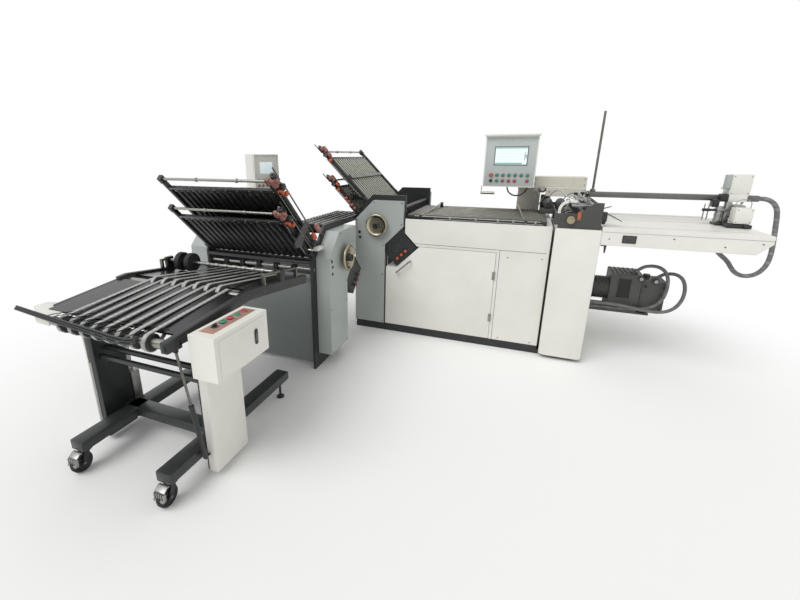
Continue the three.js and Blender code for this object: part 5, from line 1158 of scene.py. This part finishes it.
# Lower plates: screws and slanted knobs at the operator side
slantedKnob = [(0, 0), (8, 0), (10.5, 2), (11.5, 6), (10.5, 10), (11.5, 14), (9.8, 17), (0, 17)]
knobXs = (107.6, 151.4, 195.2)
for n, unit in units.items():
    place = unit["place"] @ Matrix.Translation((205, 0, unit["wheel"] - 5)) @ Matrix.Rotation(0.75 * math.pi, 4, "Y")
    makePiece(f"lower_knobs_{n}", unit["lower"],
              turns(slantedKnob, 14, *[(x, -5, 147.2, x, -22, 147.2) for x in knobXs]), place)
    makePiece(f"lower_screws_{n}", "darkSteel",
              screws(front, 5.5, *[(x, 3, 62 + 18 * i) for i, x in enumerate((84, 126, 168))])
              + rods(3.5, 12, 0.6, *[(x, 2, 112, x, -7, 112) for x in knobXs]), place)
    y = unit["casing"] + 15.3
    makePiece(f"lower_ribs_{n}", "darkSteel",
              rods(3, 10, 0, *[(x, y + 10, 186, x, y + 790, 186) for x in (110, 150, 190)]), place)
print("lower plates dressed")

# Stage: pale floor that fades into white surroundings, and plain soft light
stageLook = {"floorSize": 60, "floorColour": "#F9F9F8", "centre": (-0.3, -1.0, 0), "fade": (1.7, 3.4), "sky": 0.6,
             "sun": 1.45, "sunTurn": (38, 0, -28), "sunSpread": 40}
plainWhite = linearColour("#FFFFFF")


def seenRay(tree):
    # one for what the camera and mirrors see, so that only they get the plain white
    ray = addNode(tree, "LightPath")
    return addNode(tree, "Math", {}, {0: ray.outputs["Is Camera Ray"], 1: ray.outputs["Is Glossy Ray"]},
                   operation="ADD", use_clamp=True).outputs[0]


def makeFloor():
    bm = bmesh.new()
    bmesh.ops.create_grid(bm, x_segments=1, y_segments=1, size=stageLook["floorSize"])
    mesh = bpy.data.meshes.new("floor")
    bm.to_mesh(mesh)
    bm.free()
    material, tree, surface, place = newMaterial("paleFloor", {"Roughness": 0.9, "Specular IOR Level": 0.1})
    surface.inputs["Base Color"].default_value = linearColour(stageLook["floorColour"])
    centred = addNode(tree, "Mapping", {"Location": [-c for c in stageLook["centre"]]}, {"Vector": place})
    distance = addNode(tree, "VectorMath", {}, {0: centred.outputs["Vector"]}, operation="LENGTH")
    clear, plain = stageLook["fade"]
    fade = addNode(tree, "MapRange", {"From Min": clear, "From Max": plain}, {"Value": distance.outputs["Value"]},
                   interpolation_type="SMOOTHSTEP")
    share = addNode(tree, "Math", {}, {0: fade.outputs["Result"], 1: seenRay(tree)}, operation="MULTIPLY")
    glow = addNode(tree, "Emission", {"Color": plainWhite, "Strength": 1})
    both = addNode(tree, "MixShader", {}, {0: share.outputs[0], 1: surface.outputs[0], 2: glow.outputs[0]})
    tree.links.new(both.outputs[0], tree.nodes["Material Output"].inputs["Surface"])
    mesh.materials.append(material)
    linkObject("floor", mesh)


def makeLight():
    world = bpy.data.worlds.new("surroundings")
    bpy.context.scene.world = world
    world.use_nodes = True
    tree = world.node_tree
    strength = addNode(tree, "MapRange", {"To Min": stageLook["sky"], "To Max": 1}, {"Value": seenRay(tree)})
    background = tree.nodes["Background"]
    background.inputs["Color"].default_value = plainWhite
    tree.links.new(strength.outputs["Result"], background.inputs["Strength"])
    data = bpy.data.lights.new("sun", "SUN")
    data.energy = stageLook["sun"]
    data.angle = math.radians(stageLook["sunSpread"])
    linkObject("sun", data).rotation_euler = [math.radians(a) for a in stageLook["sunTurn"]]
    bpy.context.scene.view_settings.view_transform = "Standard"


makeFloor()
makeLight()
print("stage made")
